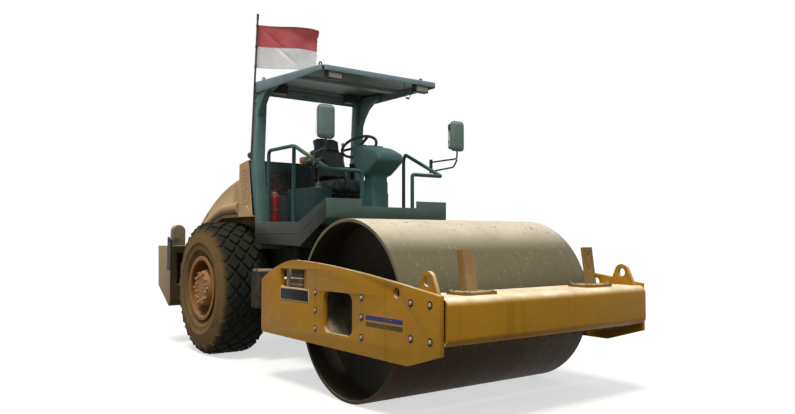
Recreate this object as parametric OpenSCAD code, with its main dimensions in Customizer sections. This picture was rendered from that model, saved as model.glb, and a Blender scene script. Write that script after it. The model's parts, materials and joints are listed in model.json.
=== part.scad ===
// Single-drum soil roller with an open operator's platform under a two-post canopy.
// Millimetres. +X is forward, +Y is the machine's left, +Z is up.
// The origin lies on the ground under the middle of the overall length.

/* [Layout] */
// Drum axle to rear axle
wheelbase = 3050; // [2950:10:3150]
// Drum axle to the front face of the front beam
front_reach = 1310; // [1280:5:1360]
// Rear axle to the rear face of the counterweight
rear_reach = 1406; // [1380:1:1460]
// Drum axle back to the steering pivot
pivot_back = 1600; // [1570:5:1640]

/* [Drum] */
// Outside diameter of the drum
drum_d = 1500; // [1460:10:1540]
// Gap between each end of the drum and its side plate
drum_side_gap = 55; // [45:1:80]
// Thickness of the drum shell
drum_shell_t = 30; // [20:1:40]
// Depth of the recess at each end of the drum
drum_recess = 270; // [240:5:300]
// Thickness of the drum's end heads
drum_head_t = 25; // [15:1:40]
// Outer radius of the drum's hub and of the tube between its heads
drum_hub_r = 160; // [130:5:200]
// Radius of the stub shafts that carry the drum
drum_stub_r = 70; // [50:1:90]

/* [Front frame] */
// Centre plane to the outer face of a side plate
frame_half = 1160; // [1150:5:1200]
// Thickness of a side plate
plate_t = 40; // [25:1:45]
// Height of the side plate's lower edge
plate_bottom = 450; // [420:5:480]
// Height of the side plate's highest point
plate_peak = 1143; // [1120:1:1160]
// Height of the side plate's top edge at its front end
plate_front_top = 950; // [940:1:980]
// Drum axle back to the rear end of a side plate
plate_back = 1350; // [1330:5:1370]
// Width of the round-cornered window at the drum axle
window_w = 433; // [380:1:460]
// Height of that window
window_h = 339; // [300:1:360]
// Corner radius of that window
window_r = 70; // [40:1:90]
// Radius of the lifting hole in a side plate
lift_hole_r = 38; // [25:1:45]
// Depth of the front beam from front to back
beam_depth = 460; // [440:5:470]
// Height of the front beam's underside
beam_bottom = 604; // [590:1:620]
// Height of the front beam's top
beam_top = 930; // [900:1:935]
// Wall of the box beams
beam_wall = 16; // [8:1:25]
// Radius of the front beam's front edges
beam_edge_r = 60; // [30:1:90]
// Radius of the hole in a lifting lug
lug_hole_r = 35; // [20:1:45]
// Thickness of a lifting lug
lug_t = 30; // [20:1:40]
// Height of the posts on the front beam
post_h = 320; // [250:5:380]

/* [Steering hitch] */
// Radius of the steering pivot pins
pivot_pin_r = 45; // [35:1:55]
// Radius of the trunnion on which the front frame rocks
trunnion_r = 70; // [55:1:85]
// Running clearance of pins and shafts in their bores
run_gap = 0.05; // [0.02:0.01:0.08]
// Radius of a steering cylinder's barrel
barrel_r = 50; // [42:1:58]
// Radius of a steering cylinder's rod
rod_r = 25; // [18:1:30]

/* [Rear wheels] */
// Outside diameter of a rear tyre over its tread
tyre_d = 1520; // [1480:10:1540]
// Width of a rear tyre
tyre_w = 590; // [560:5:600]
// Centre plane to the middle of a rear tyre
tyre_mid = 810; // [805:5:830]
// Radius of the rim where the tyre's bead sits
rim_r = 345; // [330:1:360]
// Height of the rim's flange over the bead seat
rim_flange = 24; // [15:1:30]
// Radius of the axle's wheel spindles
spindle_r = 100; // [80:1:115]

/* [Rear frame] */
// Centre plane to the outer face of a chassis rail
rail_half = 440; // [420:5:450]
// Thickness of a chassis rail
rail_t = 40; // [25:1:50]
// Height of the chassis rails' top edge
rail_top = 1220; // [1200:5:1240]
// Half of the counterweight's width
weight_half = 1100; // [1050:5:1120]

/* [Platform] */
// Half of the platform's width over its side fascias
deck_half = 747; // [735:1:760]
// Height of the flat rear part of the floor
floor_z = 1490; // [1480:1:1510]
// Height of the front edge of the sloping foot plate
foot_z = 1647; // [1630:1:1670]
// Thickness of floor and fascia sheets
sheet_t = 12; // [8:1:16]
// Rear axle to the platform's front face
deck_front = 2200; // [2170:5:2230]
// Radius of the handrail tubes
rail_tube_r = 20; // [15:1:24]
// Height of the side handrails' top run
rail_tube_top = 2285; // [2250:5:2320]

/* [Canopy] */
// Half of the canopy's width
canopy_half = 730; // [700:5:745]
// Height of the canopy's top at its front edge
canopy_front_z = 3016; // [2990:1:3040]
// Height of the canopy's top at its rear edge
canopy_rear_z = 3090; // [3070:1:3110]
// Width of a canopy post across the machine
post_w = 110; // [90:1:120]

/* [Hood] */
// Half of the hood's width at its lower edge
hood_half = 738; // [725:1:745]
// Wall of the hood and its cowl
hood_wall = 5; // [4:1:10]
// Radius of the hood's upper side edges
hood_edge_r = 90; // [60:5:110]

/* [Flag] */
// Height of the flag along its pole
flag_hoist = 480; // [400:10:520]
// Length of the flag as it flies
flag_fly = 700; // [600:10:760]

/* [Hidden] */
$fn = 64;

paint = "#c08d3c";
dark_paint = "#44585a";
black = "#26282a";
steel = "#8a8578";
red = "#a02420";

// Places along the machine
length_all = front_reach + wheelbase + rear_reach;
drum_x = length_all / 2 - front_reach;
axle_x = drum_x - wheelbase;
pivot_x = drum_x - pivot_back;
drum_z = drum_d / 2;
axle_z = tyre_d / 2;
plate_in = frame_half - plate_t;
drum_w = 2 * (plate_in - drum_side_gap);

// Gap at a seat, and how far a cut or a joined piece runs past a face
seat_gap = 0.3;
over = 1;

// Distances from the steering pivot: head plate, rail ends, rod and barrel pins
head_back = 720;
head_t = 40;
rails_back = 360;
rod_pin = [100, 250];
barrel_pin = [-600, 290];
cyl_z = 665;
arm_top = 640;
hitch_z = 750;
block_r = 110;
ear_t = 60;
ear_r = 150;
ear_low = 500;
ear_high = 940;
ear_gap = 5;
rear_beam_back = 300;
rear_beam_depth = 320;
rear_beam_low = 520;
rear_beam_high = 960;

// Canopy, posts and platform, measured from the rear axle
canopy_x0 = 580;
canopy_x1 = 2090;
rib_h = 40;
post_out = canopy_half - sheet_t - seat_gap;
post_in = post_out - post_w;
post_d = 100;
post_top_x = 600;
post_foot_z = 1287;
post_kink_z = 2200;
post_top_z = canopy_z(post_top_x + post_d) - rib_h;
floor_back = 790;
floor_bend = 1670;
floor_half = deck_half - sheet_t;
cowl_back = 250;

// Lower edge of the hood: level over the tyre, then falling to the tail
lip_z = 1585;
lip_t = 10;
lip_bend = -206;
lip_tail = -1130;
lip_slope = 190;
lip_sag = 120;
lip_steps = 5;

function unit(v) = v / norm(v);

// Height of the walking surface at a distance from the rear axle
function deck_z(x) = x < floor_bend ? floor_z
  : floor_z + (foot_z - floor_z) * (x - floor_bend) / (deck_front - floor_bend);

// Height of the canopy's top at a distance from the rear axle
function canopy_z(x) = canopy_rear_z
  + (canopy_front_z - canopy_rear_z) * (x - canopy_x0) / (canopy_x1 - canopy_x0);

// Height of the hood's lower edge at a distance from the rear axle
function lip_at(x) =
  let (t = min(1, max(0, (lip_bend - x) / (lip_bend - lip_tail))))
  lip_z - lip_slope * t - lip_sag * t * t;

// Height of the cowl's top at a distance from the rear axle
function cowl_z(x) = cowl_rear_top
  + (cowl_top - cowl_rear_top) * (x - cowl_back - cowl_lean) / (cowl_head - cowl_back - cowl_lean);

// Points that round a corner b between a and c
function bend(a, b, c, k, n) =
  let (p = b + k * unit(a - b), q = b + k * unit(c - b))
  [for (i = [0:n]) let (t = i / n) (1 - t) * (1 - t) * p + 2 * t * (1 - t) * b + t * t * q];

// A route with every inner corner rounded
function rounded_route(p, k, n) = concat(
  [p[0]],
  [for (i = [1:len(p) - 2]) each bend(p[i - 1], p[i], p[i + 1], k, n)],
  [p[len(p) - 1]]
);

// A closed outline with every corner rounded
function rounded_loop(p, k, n) =
  let (c = len(p))
  [for (i = [0:c - 1]) each bend(p[(i + c - 1) % c], p[i], p[(i + 1) % c], k, n)];

// Direction of a route at one of its points
function heading(p, i) =
  unit(p[min(i + 1, len(p) - 1)] - p[max(i - 1, 0)]);

// A round pipe along a route, with one radius or one for each point
module pipe(p, r, sides = 12) {
  skew = unit([0.35, 0.5, 0.79]);
  rings = [for (i = [0:len(p) - 1])
    let (h = heading(p, i), u = unit(cross(h, skew)), v = cross(h, u))
    for (s = [0:sides - 1]) let (a = 360 * s / sides, reach = is_list(r) ? r[i] : r)
    p[i] + reach * (cos(a) * u + sin(a) * v)];
  last = (len(p) - 1) * sides;
  walls = [for (i = [0:len(p) - 2], s = [0:sides - 1])
    let (a = i * sides + s, b = i * sides + (s + 1) % sides)
    [a, a + sides, b + sides, b]];
  caps = [[for (s = [0:sides - 1]) s], [for (s = [sides - 1:-1:0]) last + s]];
  polyhedron(points = rings, faces = concat(walls, caps), convexity = 6);
}

// A straight round bar between two points
module bar(p, q, r) {
  d = q - p;
  l = norm(d);
  translate(p) rotate([0, acos(d.z / l), atan2(d.y, d.x)]) cylinder(h = l, r = r);
}

// A sheet with a given outline in x and z, from y0 to y1
module side_sheet(y0, y1) {
  translate([0, y1, 0]) rotate([90, 0, 0]) linear_extrude(y1 - y0) children();
}

// A box between two corners
module block(a, b) {
  translate(a) cube(b - a);
}

// A cylinder along y from y0 to y1
module cross_bar(x, z, y0, y1, r) {
  translate([x, y1, z]) rotate([90, 0, 0]) cylinder(h = y1 - y0, r = r);
}

// A flat rectangle with round corners, about its centre
module round_rect(w, h, r) {
  square([w - 2 * r, h], center = true);
  square([w, h - 2 * r], center = true);
  for (x = [-1, 1], y = [-1, 1]) translate([x * (w / 2 - r), y * (h / 2 - r)]) circle(r);
}

// The right piece and its mirror image on the left
module both_sides() {
  children();
  mirror([0, 1, 0]) children();
}

module at_drum() { translate([drum_x, 0, 0]) children(); }
module at_axle() { translate([axle_x, 0, 0]) children(); }
module at_pivot() { translate([pivot_x, 0, 0]) children(); }

// Chassis: two deep rails from the steering hitch back to the counterweight
rail_low = 500;
rail_arch = 900;
rail_step = 600;
weight_front = 960;
module chassis_rails() {
  front = pivot_x - rails_back - axle_x;
  color(black) at_axle() both_sides() side_sheet(-rail_half, -rail_half + rail_t)
    polygon([
      [-weight_front, rail_top], [-weight_front, rail_arch], [rail_step, rail_arch],
      [rail_step + rail_arch - rail_low, rail_low], [front, rail_low], [front, rail_top]
    ]);
}

// Head of the chassis: a cross plate, two ears for the pivot pins and the barrels' lugs
lug_plate_t = 40;
lug_reach = 60;
module hitch_head() {
  inner = rail_half - rail_t;
  color(black) at_pivot() difference() {
    union() {
      block([-head_back - head_t, -inner, rail_low], [-head_back, inner, rail_top]);
      for (z = [ear_low, ear_high]) translate([0, 0, z]) {
        cylinder(h = ear_t, r = ear_r);
        block([-head_back, -ear_r, 0], [0, ear_r, ear_t]);
      }
      block([-head_back, -head_t / 2, ear_low], [-head_back / 2, head_t / 2, ear_high]);
      both_sides() for (z = [cyl_z + lug_plate_t / 2, cyl_z - lug_plate_t * 3 / 2])
        translate([barrel_pin.x, -barrel_pin.y, z]) {
          cylinder(h = lug_plate_t, r = lug_reach);
          block([-head_back - barrel_pin.x, -lug_reach, 0], [0, lug_reach, lug_plate_t]);
        }
    }
    translate([0, 0, ear_low - over])
      cylinder(h = ear_high + ear_t - ear_low + 2 * over, r = pivot_pin_r + run_gap);
  }
}

// Rear axle: housing, differential, seats under the rails and wheel spindles
axle_tube_r = 110;
diff_r = 230;
hub_flange_r = 190;
spindle_end = 930;
axle_seat = 120;
axle_flange_t = 40;
axle_flange_set = 35;
module rear_axle() {
  flange_in = tyre_mid - tyre_w / 2 + axle_flange_set;
  color(black) at_axle() {
    cross_bar(0, axle_z, -flange_in, flange_in, axle_tube_r);
    cross_bar(0, axle_z, -spindle_end, spindle_end, spindle_r);
    translate([0, 0, axle_z]) sphere(diff_r);
    both_sides() {
      cross_bar(0, axle_z, -flange_in, -flange_in + axle_flange_t, hub_flange_r);
      block([-axle_seat, -rail_half, axle_z], [axle_seat, -rail_half + rail_t, rail_arch]);
    }
  }
}

// Engine: one plain mass between the rails, on the head of its mounts
engine_len = 1150;
engine_ahead = 345;
engine_half = 330;
engine_low = 1010;
engine_high = 1560;
engine_foot = 60;
engine_foot_set = 115;
module engine_block() {
  back = engine_ahead - engine_len;
  foot_z = engine_low + engine_foot;
  color(steel) at_axle() {
    block([back, -engine_half, engine_low], [engine_ahead, engine_half, engine_high]);
    both_sides() for (x = [back + engine_foot_set, engine_ahead - engine_foot_set - 2 * engine_foot])
      block([x, -rail_half + rail_t, foot_z], [x + 2 * engine_foot, -engine_half, foot_z + engine_foot]);
  }
}

// Counterweight: a full-width casting behind the tyres, open at the front between the rails
weight_top = 1237;
weight_tail = 723;
weight_low = 480;
weight_wall = 90;
weight_rake = 22;
weight_heel = 40;
weight_chamfer = 60;
pocket_sill = 20;
tie_plate_top = 1348;
tie_plate_low = 923;
tie_plate_w = 110;
tie_plate_t = 25;
tie_corner = 30;
tie_eye_drop = 60;
tie_slot_r = 18;
module counterweight() {
  color(dark_paint) at_axle() difference() {
    union() {
      side_sheet(-weight_half, weight_half) polygon([
        [-rear_reach, weight_top], [-rear_reach + weight_rake, weight_tail],
        [-weight_front - weight_heel, weight_low], [-weight_front, weight_low + weight_chamfer],
        [-weight_front, weight_top]
      ]);
      both_sides() side_sheet(-weight_half, -weight_half + tie_plate_t) polygon([
        [-weight_front, tie_plate_low], [-weight_front, tie_plate_top - tie_corner],
        [-weight_front - tie_corner, tie_plate_top], [-weight_front - tie_plate_w, tie_plate_top],
        [-weight_front - tie_plate_w, tie_plate_low]
      ]);
    }
    block([-rear_reach + weight_rake + weight_wall, -weight_half + weight_wall, weight_tail + pocket_sill],
          [-weight_front + over, weight_half - weight_wall, weight_top - weight_wall]);
    cross_bar(-weight_front - tie_plate_w / 2, tie_plate_top - tie_eye_drop,
              -weight_half - over, weight_half + over, tie_slot_r);
  }
}

// Tail lamps: round-headed housings that stand on the counterweight
tail_w = 170;
tail_h = 270;
tail_t = 90;
tail_y = 900;
tail_set = 120;
module tail_lamps() {
  color(black) at_axle() both_sides() translate([-rear_reach + tail_set, -tail_y, weight_top + seat_gap])
    rotate([90, 0, 90]) linear_extrude(tail_t) {
      translate([-tail_w / 2, 0]) square([tail_w, tail_h - tail_w / 2]);
      translate([0, tail_h - tail_w / 2]) circle(tail_w / 2);
    }
}

// Engine bay sides with the flanges over the tyres on which the hood rests
shroud_t = 10;
shroud_front = 610;
shroud_end = weight_front - 60;
module engine_shrouds() {
  edge = concat([shroud_front], [for (i = [0:lip_steps]) lip_bend + (lip_tail - lip_bend) * i / lip_steps]);
  web = concat([for (x = edge) if (x > -shroud_end) x], [-shroud_end]);
  color(paint) at_axle() both_sides() {
    side_sheet(-hood_half, -rail_half + shroud_t) polygon(concat(
      [for (x = edge) [x, lip_at(x)]],
      [for (i = [len(edge) - 1:-1:0]) [edge[i], lip_at(edge[i]) - lip_t]]
    ));
    side_sheet(-rail_half, -rail_half + shroud_t) polygon(concat(
      [for (x = web) [x, lip_at(x) - lip_t / 2]], [[-shroud_end, rail_top], [shroud_front, rail_top]]
    ));
  }
}

// Fixed cowl between the canopy posts and the hood, with grilles of staggered holes and the hood's hinge pins
cowl_foot = 610;
cowl_head = 498;
cowl_top = 2221;
cowl_rear_top = 2187;
cowl_lean = 16;
grille_r = 10;
grille_pitch = [44, 26];
grille_rows = 16;
grille_columns = 5;
grille_set = 58;
grille_lift = 130;
grille_lean = 2;
hinge_x = cowl_back - 5;
hinge_z = 2090;
hinge_y = 360;
hinge_pin_r = 10;
hinge_lug_r = 22;
cowl_lug_r = 15;
cowl_lug_w = 36;
hinge_lug_t = 12;
hinge_play = 5;
module hood_cowl() {
  wall_in = hood_half - hood_wall;
  open = cowl_foot - cowl_back;
  lug_top = cowl_rear_top - hood_wall + over;
  color(paint) at_axle() {
    difference() {
      side_sheet(-hood_half, hood_half) polygon([
        [cowl_foot, lip_z], [cowl_head, cowl_top], [cowl_back + cowl_lean, cowl_rear_top], [cowl_back, lip_z]
      ]);
      side_sheet(-wall_in, wall_in) polygon([
        [cowl_foot + open, lip_z - over], [cowl_foot + open, cowl_top - hood_wall],
        [cowl_head, cowl_top - hood_wall], [cowl_back + cowl_lean, cowl_rear_top - hood_wall],
        [cowl_back - open, cowl_rear_top - hood_wall], [cowl_back - open, lip_z - over]
      ]);
      for (i = [0:grille_rows - 1], j = [0:grille_columns - 1])
        cross_bar(cowl_back + grille_set + (j + (i % 2) / 2) * grille_pitch.x
                    + (grille_rows - 1 - i) * grille_lean,
                  lip_z + grille_lift + i * grille_pitch.y, -hood_half - over, hood_half + over, grille_r);
    }
    both_sides() {
      side_sheet(-hinge_y, -hinge_y + hinge_lug_t) {
        translate([hinge_x, hinge_z]) circle(cowl_lug_r);
        polygon([
          [hinge_x + cowl_lug_r, hinge_z], [cowl_back + cowl_lean + cowl_lug_w, lug_top],
          [cowl_back + cowl_lean + over, lug_top], [hinge_x - cowl_lug_r, hinge_z]
        ]);
      }
      cross_bar(hinge_x, hinge_z, -hinge_y - hinge_play - 2 * hinge_lug_t, -hinge_y + over, hinge_pin_r);
    }
  }
}

// Wall behind the seat, leaning back between the posts, with a mesh window
wall_t = 10;
wall_foot = 735;
wall_head = 600;
wall_drop = 10;
mesh_low = [-560, 1830];
mesh_high = [-180, 2110];
mesh_bar = 8;
mesh_bars = 7;
module rear_wall() {
  top = post_kink_z - wall_drop;
  lean = atan2(wall_foot - wall_head, top - post_foot_z);
  side = post_in - seat_gap;
  low = mesh_low - [0, post_foot_z];
  high = mesh_high - [0, post_foot_z];
  step = (high - low) / (mesh_bars + 1);
  color(dark_paint) at_axle() translate([wall_foot, 0, post_foot_z]) rotate([0, -lean, 0]) {
    difference() {
      block([0, -side, 0], [wall_t, side, (top - post_foot_z) / cos(lean)]);
      block([-over, low.x, low.y], [wall_t + over, high.x, high.y]);
    }
    for (i = [1:mesh_bars]) {
      block([0, low.x + i * step.x - mesh_bar / 2, low.y - over],
            [wall_t, low.x + i * step.x + mesh_bar / 2, high.y + over]);
      block([0, low.x - over, low.y + i * step.y - mesh_bar / 2],
            [wall_t, high.x + over, low.y + i * step.y + mesh_bar / 2]);
    }
  }
}

// Cross beam on the rails that carries the canopy posts
foot_beam_x = 680;
foot_beam_d = 96;
module rops_foot() {
  color(dark_paint) at_axle()
    block([foot_beam_x, -post_out, rail_top], [foot_beam_x + foot_beam_d, post_out, post_foot_z]);
}

// Two canopy posts with a bend at hood height and gussets under the canopy
post_foot_x = 690;
post_foot_d = 76;
post_kink_x = 508;
post_kink_d = 140;
post_shoulder = 36;
gusset_t = 14;
gusset_set = 20;
gusset_bite = 17;
gusset_w = 200;
gusset_drop = 260;
gusset_waist = [50, 120];
module rops_posts() {
  front = post_top_x + post_d;
  root = front - gusset_bite;
  under = sheet_t + over;
  color(dark_paint) at_axle() both_sides() {
    side_sheet(-post_out, -post_in) polygon([
      [post_foot_x, post_foot_z], [post_foot_x + post_foot_d, post_foot_z],
      [post_kink_x + post_kink_d, post_kink_z - wall_drop], [front, post_top_z],
      [post_top_x, post_top_z], [post_kink_x + post_shoulder, post_kink_z + wall_drop],
      [post_kink_x, post_kink_z - wall_drop]
    ]);
    side_sheet(-post_out + gusset_set, -post_out + gusset_set + gusset_t) polygon([
      [root, post_top_z - gusset_drop], [root + gusset_waist.x, post_top_z - gusset_waist.y],
      [root + gusset_w, canopy_z(root + gusset_w) - under], [front + over, canopy_z(front + over) - under],
      [front + over, post_top_z - seat_gap], [root, post_top_z - seat_gap]
    ]);
  }
}

// Canopy: a shallow tray, open below, lower at its front edge
rim_front = 50;
rim_rear = 130;
canopy_r = 70;
rib_w = 100;
module canopy_rib(x, low) {
  sink = sheet_t / 2;
  side_sheet(-canopy_half + sink, canopy_half - sink) polygon([
    [x, canopy_z(x) - sink], [x + rib_w, canopy_z(x + rib_w) - sink], [x + rib_w, low], [x, low]
  ]);
}
module canopy() {
  mid = (canopy_x0 + canopy_x1) / 2;
  back = canopy_x0 + sheet_t;
  front = canopy_x1 - sheet_t;
  color(dark_paint) at_axle() {
    intersection() {
      difference() {
        side_sheet(-canopy_half, canopy_half) polygon([
          [canopy_x0, canopy_rear_z], [canopy_x1, canopy_front_z],
          [canopy_x1, canopy_front_z - rim_front], [canopy_x0, canopy_rear_z - rim_rear]
        ]);
        side_sheet(-canopy_half + sheet_t, canopy_half - sheet_t) polygon([
          [back, canopy_z(back) - sheet_t], [front, canopy_z(front) - sheet_t],
          [front, canopy_front_z - 2 * rim_front], [back, canopy_rear_z - 2 * rim_rear]
        ]);
      }
      translate([mid, 0, 0]) linear_extrude(canopy_rear_z + over)
        round_rect(canopy_x1 - canopy_x0, 2 * canopy_half, canopy_r);
    }
    canopy_rib(post_top_x, post_top_z);
    canopy_rib(mid, canopy_z(mid + rib_w) - rib_h);
  }
}

// Eye bolts on the canopy's corners
eye_r = 24;
eye_wire = 7;
eye_foot_r = 15;
eye_foot_h = 14;
eye_in = 90;
eye_front = 190;
module canopy_eyes() {
  color(black) at_axle() both_sides() for (x = [canopy_x0 + eye_in, canopy_x1 - eye_front])
    translate([x, -canopy_half + eye_in, canopy_z(x - eye_foot_r)]) {
      cylinder(h = eye_foot_h, r = eye_foot_r);
      translate([0, 0, eye_foot_h + eye_r - eye_wire / 2]) rotate([90, 0, 0])
        rotate_extrude() translate([eye_r, 0]) circle(eye_wire, $fn = 32);
    }
}

// Work lamps: two at the front and two at the rear under the canopy, one small lamp on the cowl
lamp_w = 170;
lamp_h = 95;
lamp_t = 70;
lamp_y = 550;
lamp_rear_y = 480;
lamp_front_set = 120;
lamp_rear_set = 140;
lamp_foot = [20, 50];
lamp_foot_w = 60;
lamp_foot_h = 10;
cowl_lamp = [450, 60];
cowl_lamp_r = 38;
cowl_lamp_t = 50;
stalk_r = 12;
stalk_h = 30;
module lamp_body(x, y) {
  top = canopy_z(x + lamp_foot.y) - sheet_t - seat_gap;
  head = top - lamp_foot_h;
  block([x, y - lamp_w / 2, head - lamp_h], [x + lamp_t, y + lamp_w / 2, head]);
  block([x + lamp_foot.x, y - lamp_foot_w / 2, head - over], [x + lamp_foot.y, y + lamp_foot_w / 2, top]);
}
module work_lamps() {
  x = cowl_lamp.x;
  color(black) at_axle() {
    for (y = [-lamp_y, lamp_y]) lamp_body(canopy_x1 - lamp_front_set, y);
    for (y = [-lamp_rear_y, lamp_rear_y]) lamp_body(canopy_x0 + lamp_rear_set, y);
    translate([x, -hood_half + cowl_lamp.y, cowl_z(x + stalk_r) + seat_gap]) {
      cylinder(h = stalk_h, r = stalk_r);
      translate([cowl_lamp_t / 2, 0, stalk_h - over + cowl_lamp_r]) rotate([0, -90, 0])
        cylinder(h = cowl_lamp_t, r = cowl_lamp_r);
    }
  }
}

// Platform: bent floor sheet with a sloping foot plate, front fascia, side fascias and kick plates
fascia_low = 1256;
fascia_back = 700;
fascia_rise = 27;
fascia_bend = 13;
fascia_front_low = 1531;
coaming = 10;
coaming_rear = 23;
kick_top = 1716;
kick_in = 345;
kick_w = 18;
module platform() {
  face = deck_front - sheet_t;
  color(dark_paint) at_axle() {
    side_sheet(-floor_half - over, floor_half + over) polygon([
      [floor_back, floor_z], [floor_bend, floor_z], [deck_front, foot_z],
      [deck_front, fascia_front_low], [face, fascia_front_low],
      [face, deck_z(face) - sheet_t], [floor_bend, floor_z - sheet_t],
      [floor_back, floor_z - sheet_t]
    ]);
    both_sides() {
      side_sheet(-deck_half, -floor_half) polygon([
        [fascia_back, fascia_low + fascia_rise], [floor_bend + fascia_bend, fascia_low],
        [deck_front, fascia_front_low], [deck_front, kick_top], [deck_front - kick_w, kick_top],
        [floor_bend, floor_z + coaming], [fascia_back, floor_z + coaming_rear]
      ]);
      block([face, -deck_half, foot_z - sheet_t / 2], [deck_front, -kick_in, kick_top]);
    }
  }
}

// Bearers under the floor with feet on the rails
bearer_h = 90;
bearer_w = 60;
bearer_foot = 80;
module platform_bearers() {
  top = floor_z - sheet_t;
  rails_end = pivot_x - rails_back - axle_x;
  color(black) at_axle() both_sides() {
    block([floor_back, -rail_half, top - bearer_h], [floor_bend, -rail_half + bearer_w, top]);
    for (x = [floor_back + coaming, rails_end - bearer_foot - bearer_w / 3])
      block([x, -rail_half, rail_top], [x + bearer_foot, -rail_half + rail_t, top - bearer_h + over]);
  }
}

// Steps on the left tank for climbing to the platform
tank_out = 850;
tank_low = 590;
tank_high = 1000;
tank_front = 1000;
tank_back = 800;
step_reach = 110;
step_rise = 240;
step_lift = 20;
step_in = 10;
step_side_h = 70;
module access_steps() {
  back = tank_back + step_in;
  front = tank_front - step_in;
  low = tank_low + step_lift;
  color(dark_paint) at_axle() for (z = [low, low + step_rise]) {
    block([back, tank_out, z], [front, tank_out + step_reach, z + sheet_t]);
    for (x = [back, front - sheet_t])
      block([x, tank_out, z], [x + sheet_t, tank_out + step_reach, z + step_side_h]);
  }
}

// Tanks on the rails between the hitch and the rear tyres
module side_tanks() {
  color(black) at_axle() both_sides()
    block([tank_back, -tank_out, tank_low], [tank_front, -rail_half, tank_high]);
}

// Handrails: a sloping side run that turns the front corner and comes down to the foot plate
grab_y = deck_half - sheet_t - rail_tube_r - 5;
grab_front = deck_front - sheet_t - rail_tube_r - 4;
grab_mid = 1505;
grab_back = 945;
grab_corner_z = rail_tube_top - 290;
grab_leg_y = 315;
grab_crest = 30;
grab_crest_drop = 60;
grab_bend_r = 60;
grab_crest_r = 28;
module handrail(rear_loop) {
  low = [grab_front, -grab_leg_y, deck_z(grab_front + rail_tube_r) + seat_gap];
  head = [grab_front, -grab_leg_y, grab_corner_z];
  corner = [grab_front, -grab_y, grab_corner_z];
  crest = [grab_mid + (rear_loop ? 0 : grab_crest), -grab_y, rail_tube_top];
  rear = rear_loop
    ? [[grab_back, -grab_y, rail_tube_top], [grab_back, -grab_y, floor_z]]
    : [[grab_mid, -grab_y, rail_tube_top - grab_crest_drop], [grab_mid, -grab_y, floor_z]];
  route = concat([low, head, corner, crest], rear);
  color(dark_paint) at_axle() {
    pipe(rounded_route(route, rear_loop ? grab_bend_r : grab_crest_r, 5), rail_tube_r);
    if (rear_loop)
      bar([grab_mid, -grab_y, floor_z], [grab_mid, -grab_y, rail_tube_top - rail_tube_r / 4], rail_tube_r);
  }
}
module handrail_right() { handrail(true); }
module handrail_left() { mirror([0, 1, 0]) handrail(false); }

// Mirror arms: a clamp on the sloping rail and two thin tubes that meet under the head
clamp_x = 1960;
clamp_z = grab_corner_z + (rail_tube_top - grab_corner_z) * (grab_front - clamp_x) / (grab_front - grab_mid);
clamp_w = 40;
clamp_t = 14;
clamp_down = 40;
clamp_up = 110;
mirror_arm_r = 9;
mirror_arm_high = 95;
mirror_arm_low = 20;
mirror_arm_bend = 30;
mirror_x = 2300;
mirror_y = deck_half + 68;
mirror_rise = 175;
mirror_low = clamp_z + mirror_rise;
mirror_h = 320;
mirror_w = 190;
mirror_taper = 18;
mirror_t = 60;
mirror_r = 45;
module mirror_arms() {
  inner = grab_y + rail_tube_r + seat_gap;
  root = -inner - clamp_t / 2;
  high = clamp_z + mirror_arm_high;
  color(black) at_axle() both_sides() {
    block([clamp_x - clamp_w / 2, -inner - clamp_t, clamp_z - clamp_down],
          [clamp_x + clamp_w / 2, -inner, clamp_z + clamp_up]);
    pipe(rounded_route([
      [clamp_x, root, high - clamp_t], [mirror_x, -mirror_y, high], [mirror_x, -mirror_y, mirror_low]
    ], mirror_arm_bend, 4), mirror_arm_r);
    pipe(rounded_route([
      [clamp_x, root, clamp_z - mirror_arm_low], [mirror_x - clamp_up / 2, -mirror_y, clamp_z + mirror_arm_r],
      [mirror_x, -mirror_y, high - mirror_arm_r]
    ], mirror_arm_bend, 4), mirror_arm_r);
  }
}

// Mirror heads, facing back, narrower at the foot
module mirror_heads() {
  head = mirror_w / 2;
  foot = head - mirror_taper;
  color(black) at_axle() both_sides()
    translate([mirror_x - mirror_t / 2, -mirror_y, mirror_low + seat_gap]) rotate([90, 0, 90])
      linear_extrude(mirror_t)
        polygon(rounded_loop([[-foot, 0], [foot, 0], [head, mirror_h], [-head, mirror_h]], mirror_r, 5));
}

// Seat: pedestal, carrier plate and armrests
seat_back_x = 1050;
seat_front_x = 1560;
cushion_z = 1820;
cushion_h = 140;
cushion_half = 245;
cushion_r = 60;
seat_plate_t = 20;
pedestal_half = 180;
pedestal_set = [80, 110];
plate_short = 60;
armrest_gap = 10;
armrest_post_t = 12;
armrest_post = [40, 110];
armrest_w = 60;
armrest_z = 2140;
armrest_h = 50;
armrest_run = [20, 340];
spine_half = 60;
spine_t = 18;
spine_set = 30;
module seat_frame() {
  low = cushion_z - seat_plate_t;
  arm_in = cushion_half + armrest_gap;
  arm_out = arm_in + armrest_post_t;
  color(black) at_axle() {
    block([seat_back_x + pedestal_set.x, -pedestal_half, floor_z],
          [seat_front_x - pedestal_set.y, pedestal_half, low]);
    block([seat_back_x, -arm_out, low], [seat_front_x - plate_short, arm_out, cushion_z]);
    both_sides() {
      block([seat_back_x + armrest_post.x, -arm_out, low],
            [seat_back_x + armrest_post.y, -arm_in, armrest_z]);
      block([seat_back_x + armrest_run.x, -arm_in - armrest_w, armrest_z],
            [seat_back_x + armrest_run.y, -arm_in, armrest_z + armrest_h]);
    }
    block([seat_back_x - spine_set, -spine_half, low], [seat_back_x + over, spine_half, cushion_z]);
    block([seat_back_x - spine_set, -spine_half, low],
          [seat_back_x - spine_set + spine_t, spine_half, cushion_z + cushion_h]);
  }
}
module seat_cushion() {
  color(black) at_axle() translate([(seat_back_x + seat_front_x) / 2, 0, cushion_z + seat_gap])
    linear_extrude(cushion_h) round_rect(seat_front_x - seat_back_x, 2 * cushion_half, cushion_r);
}

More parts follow.
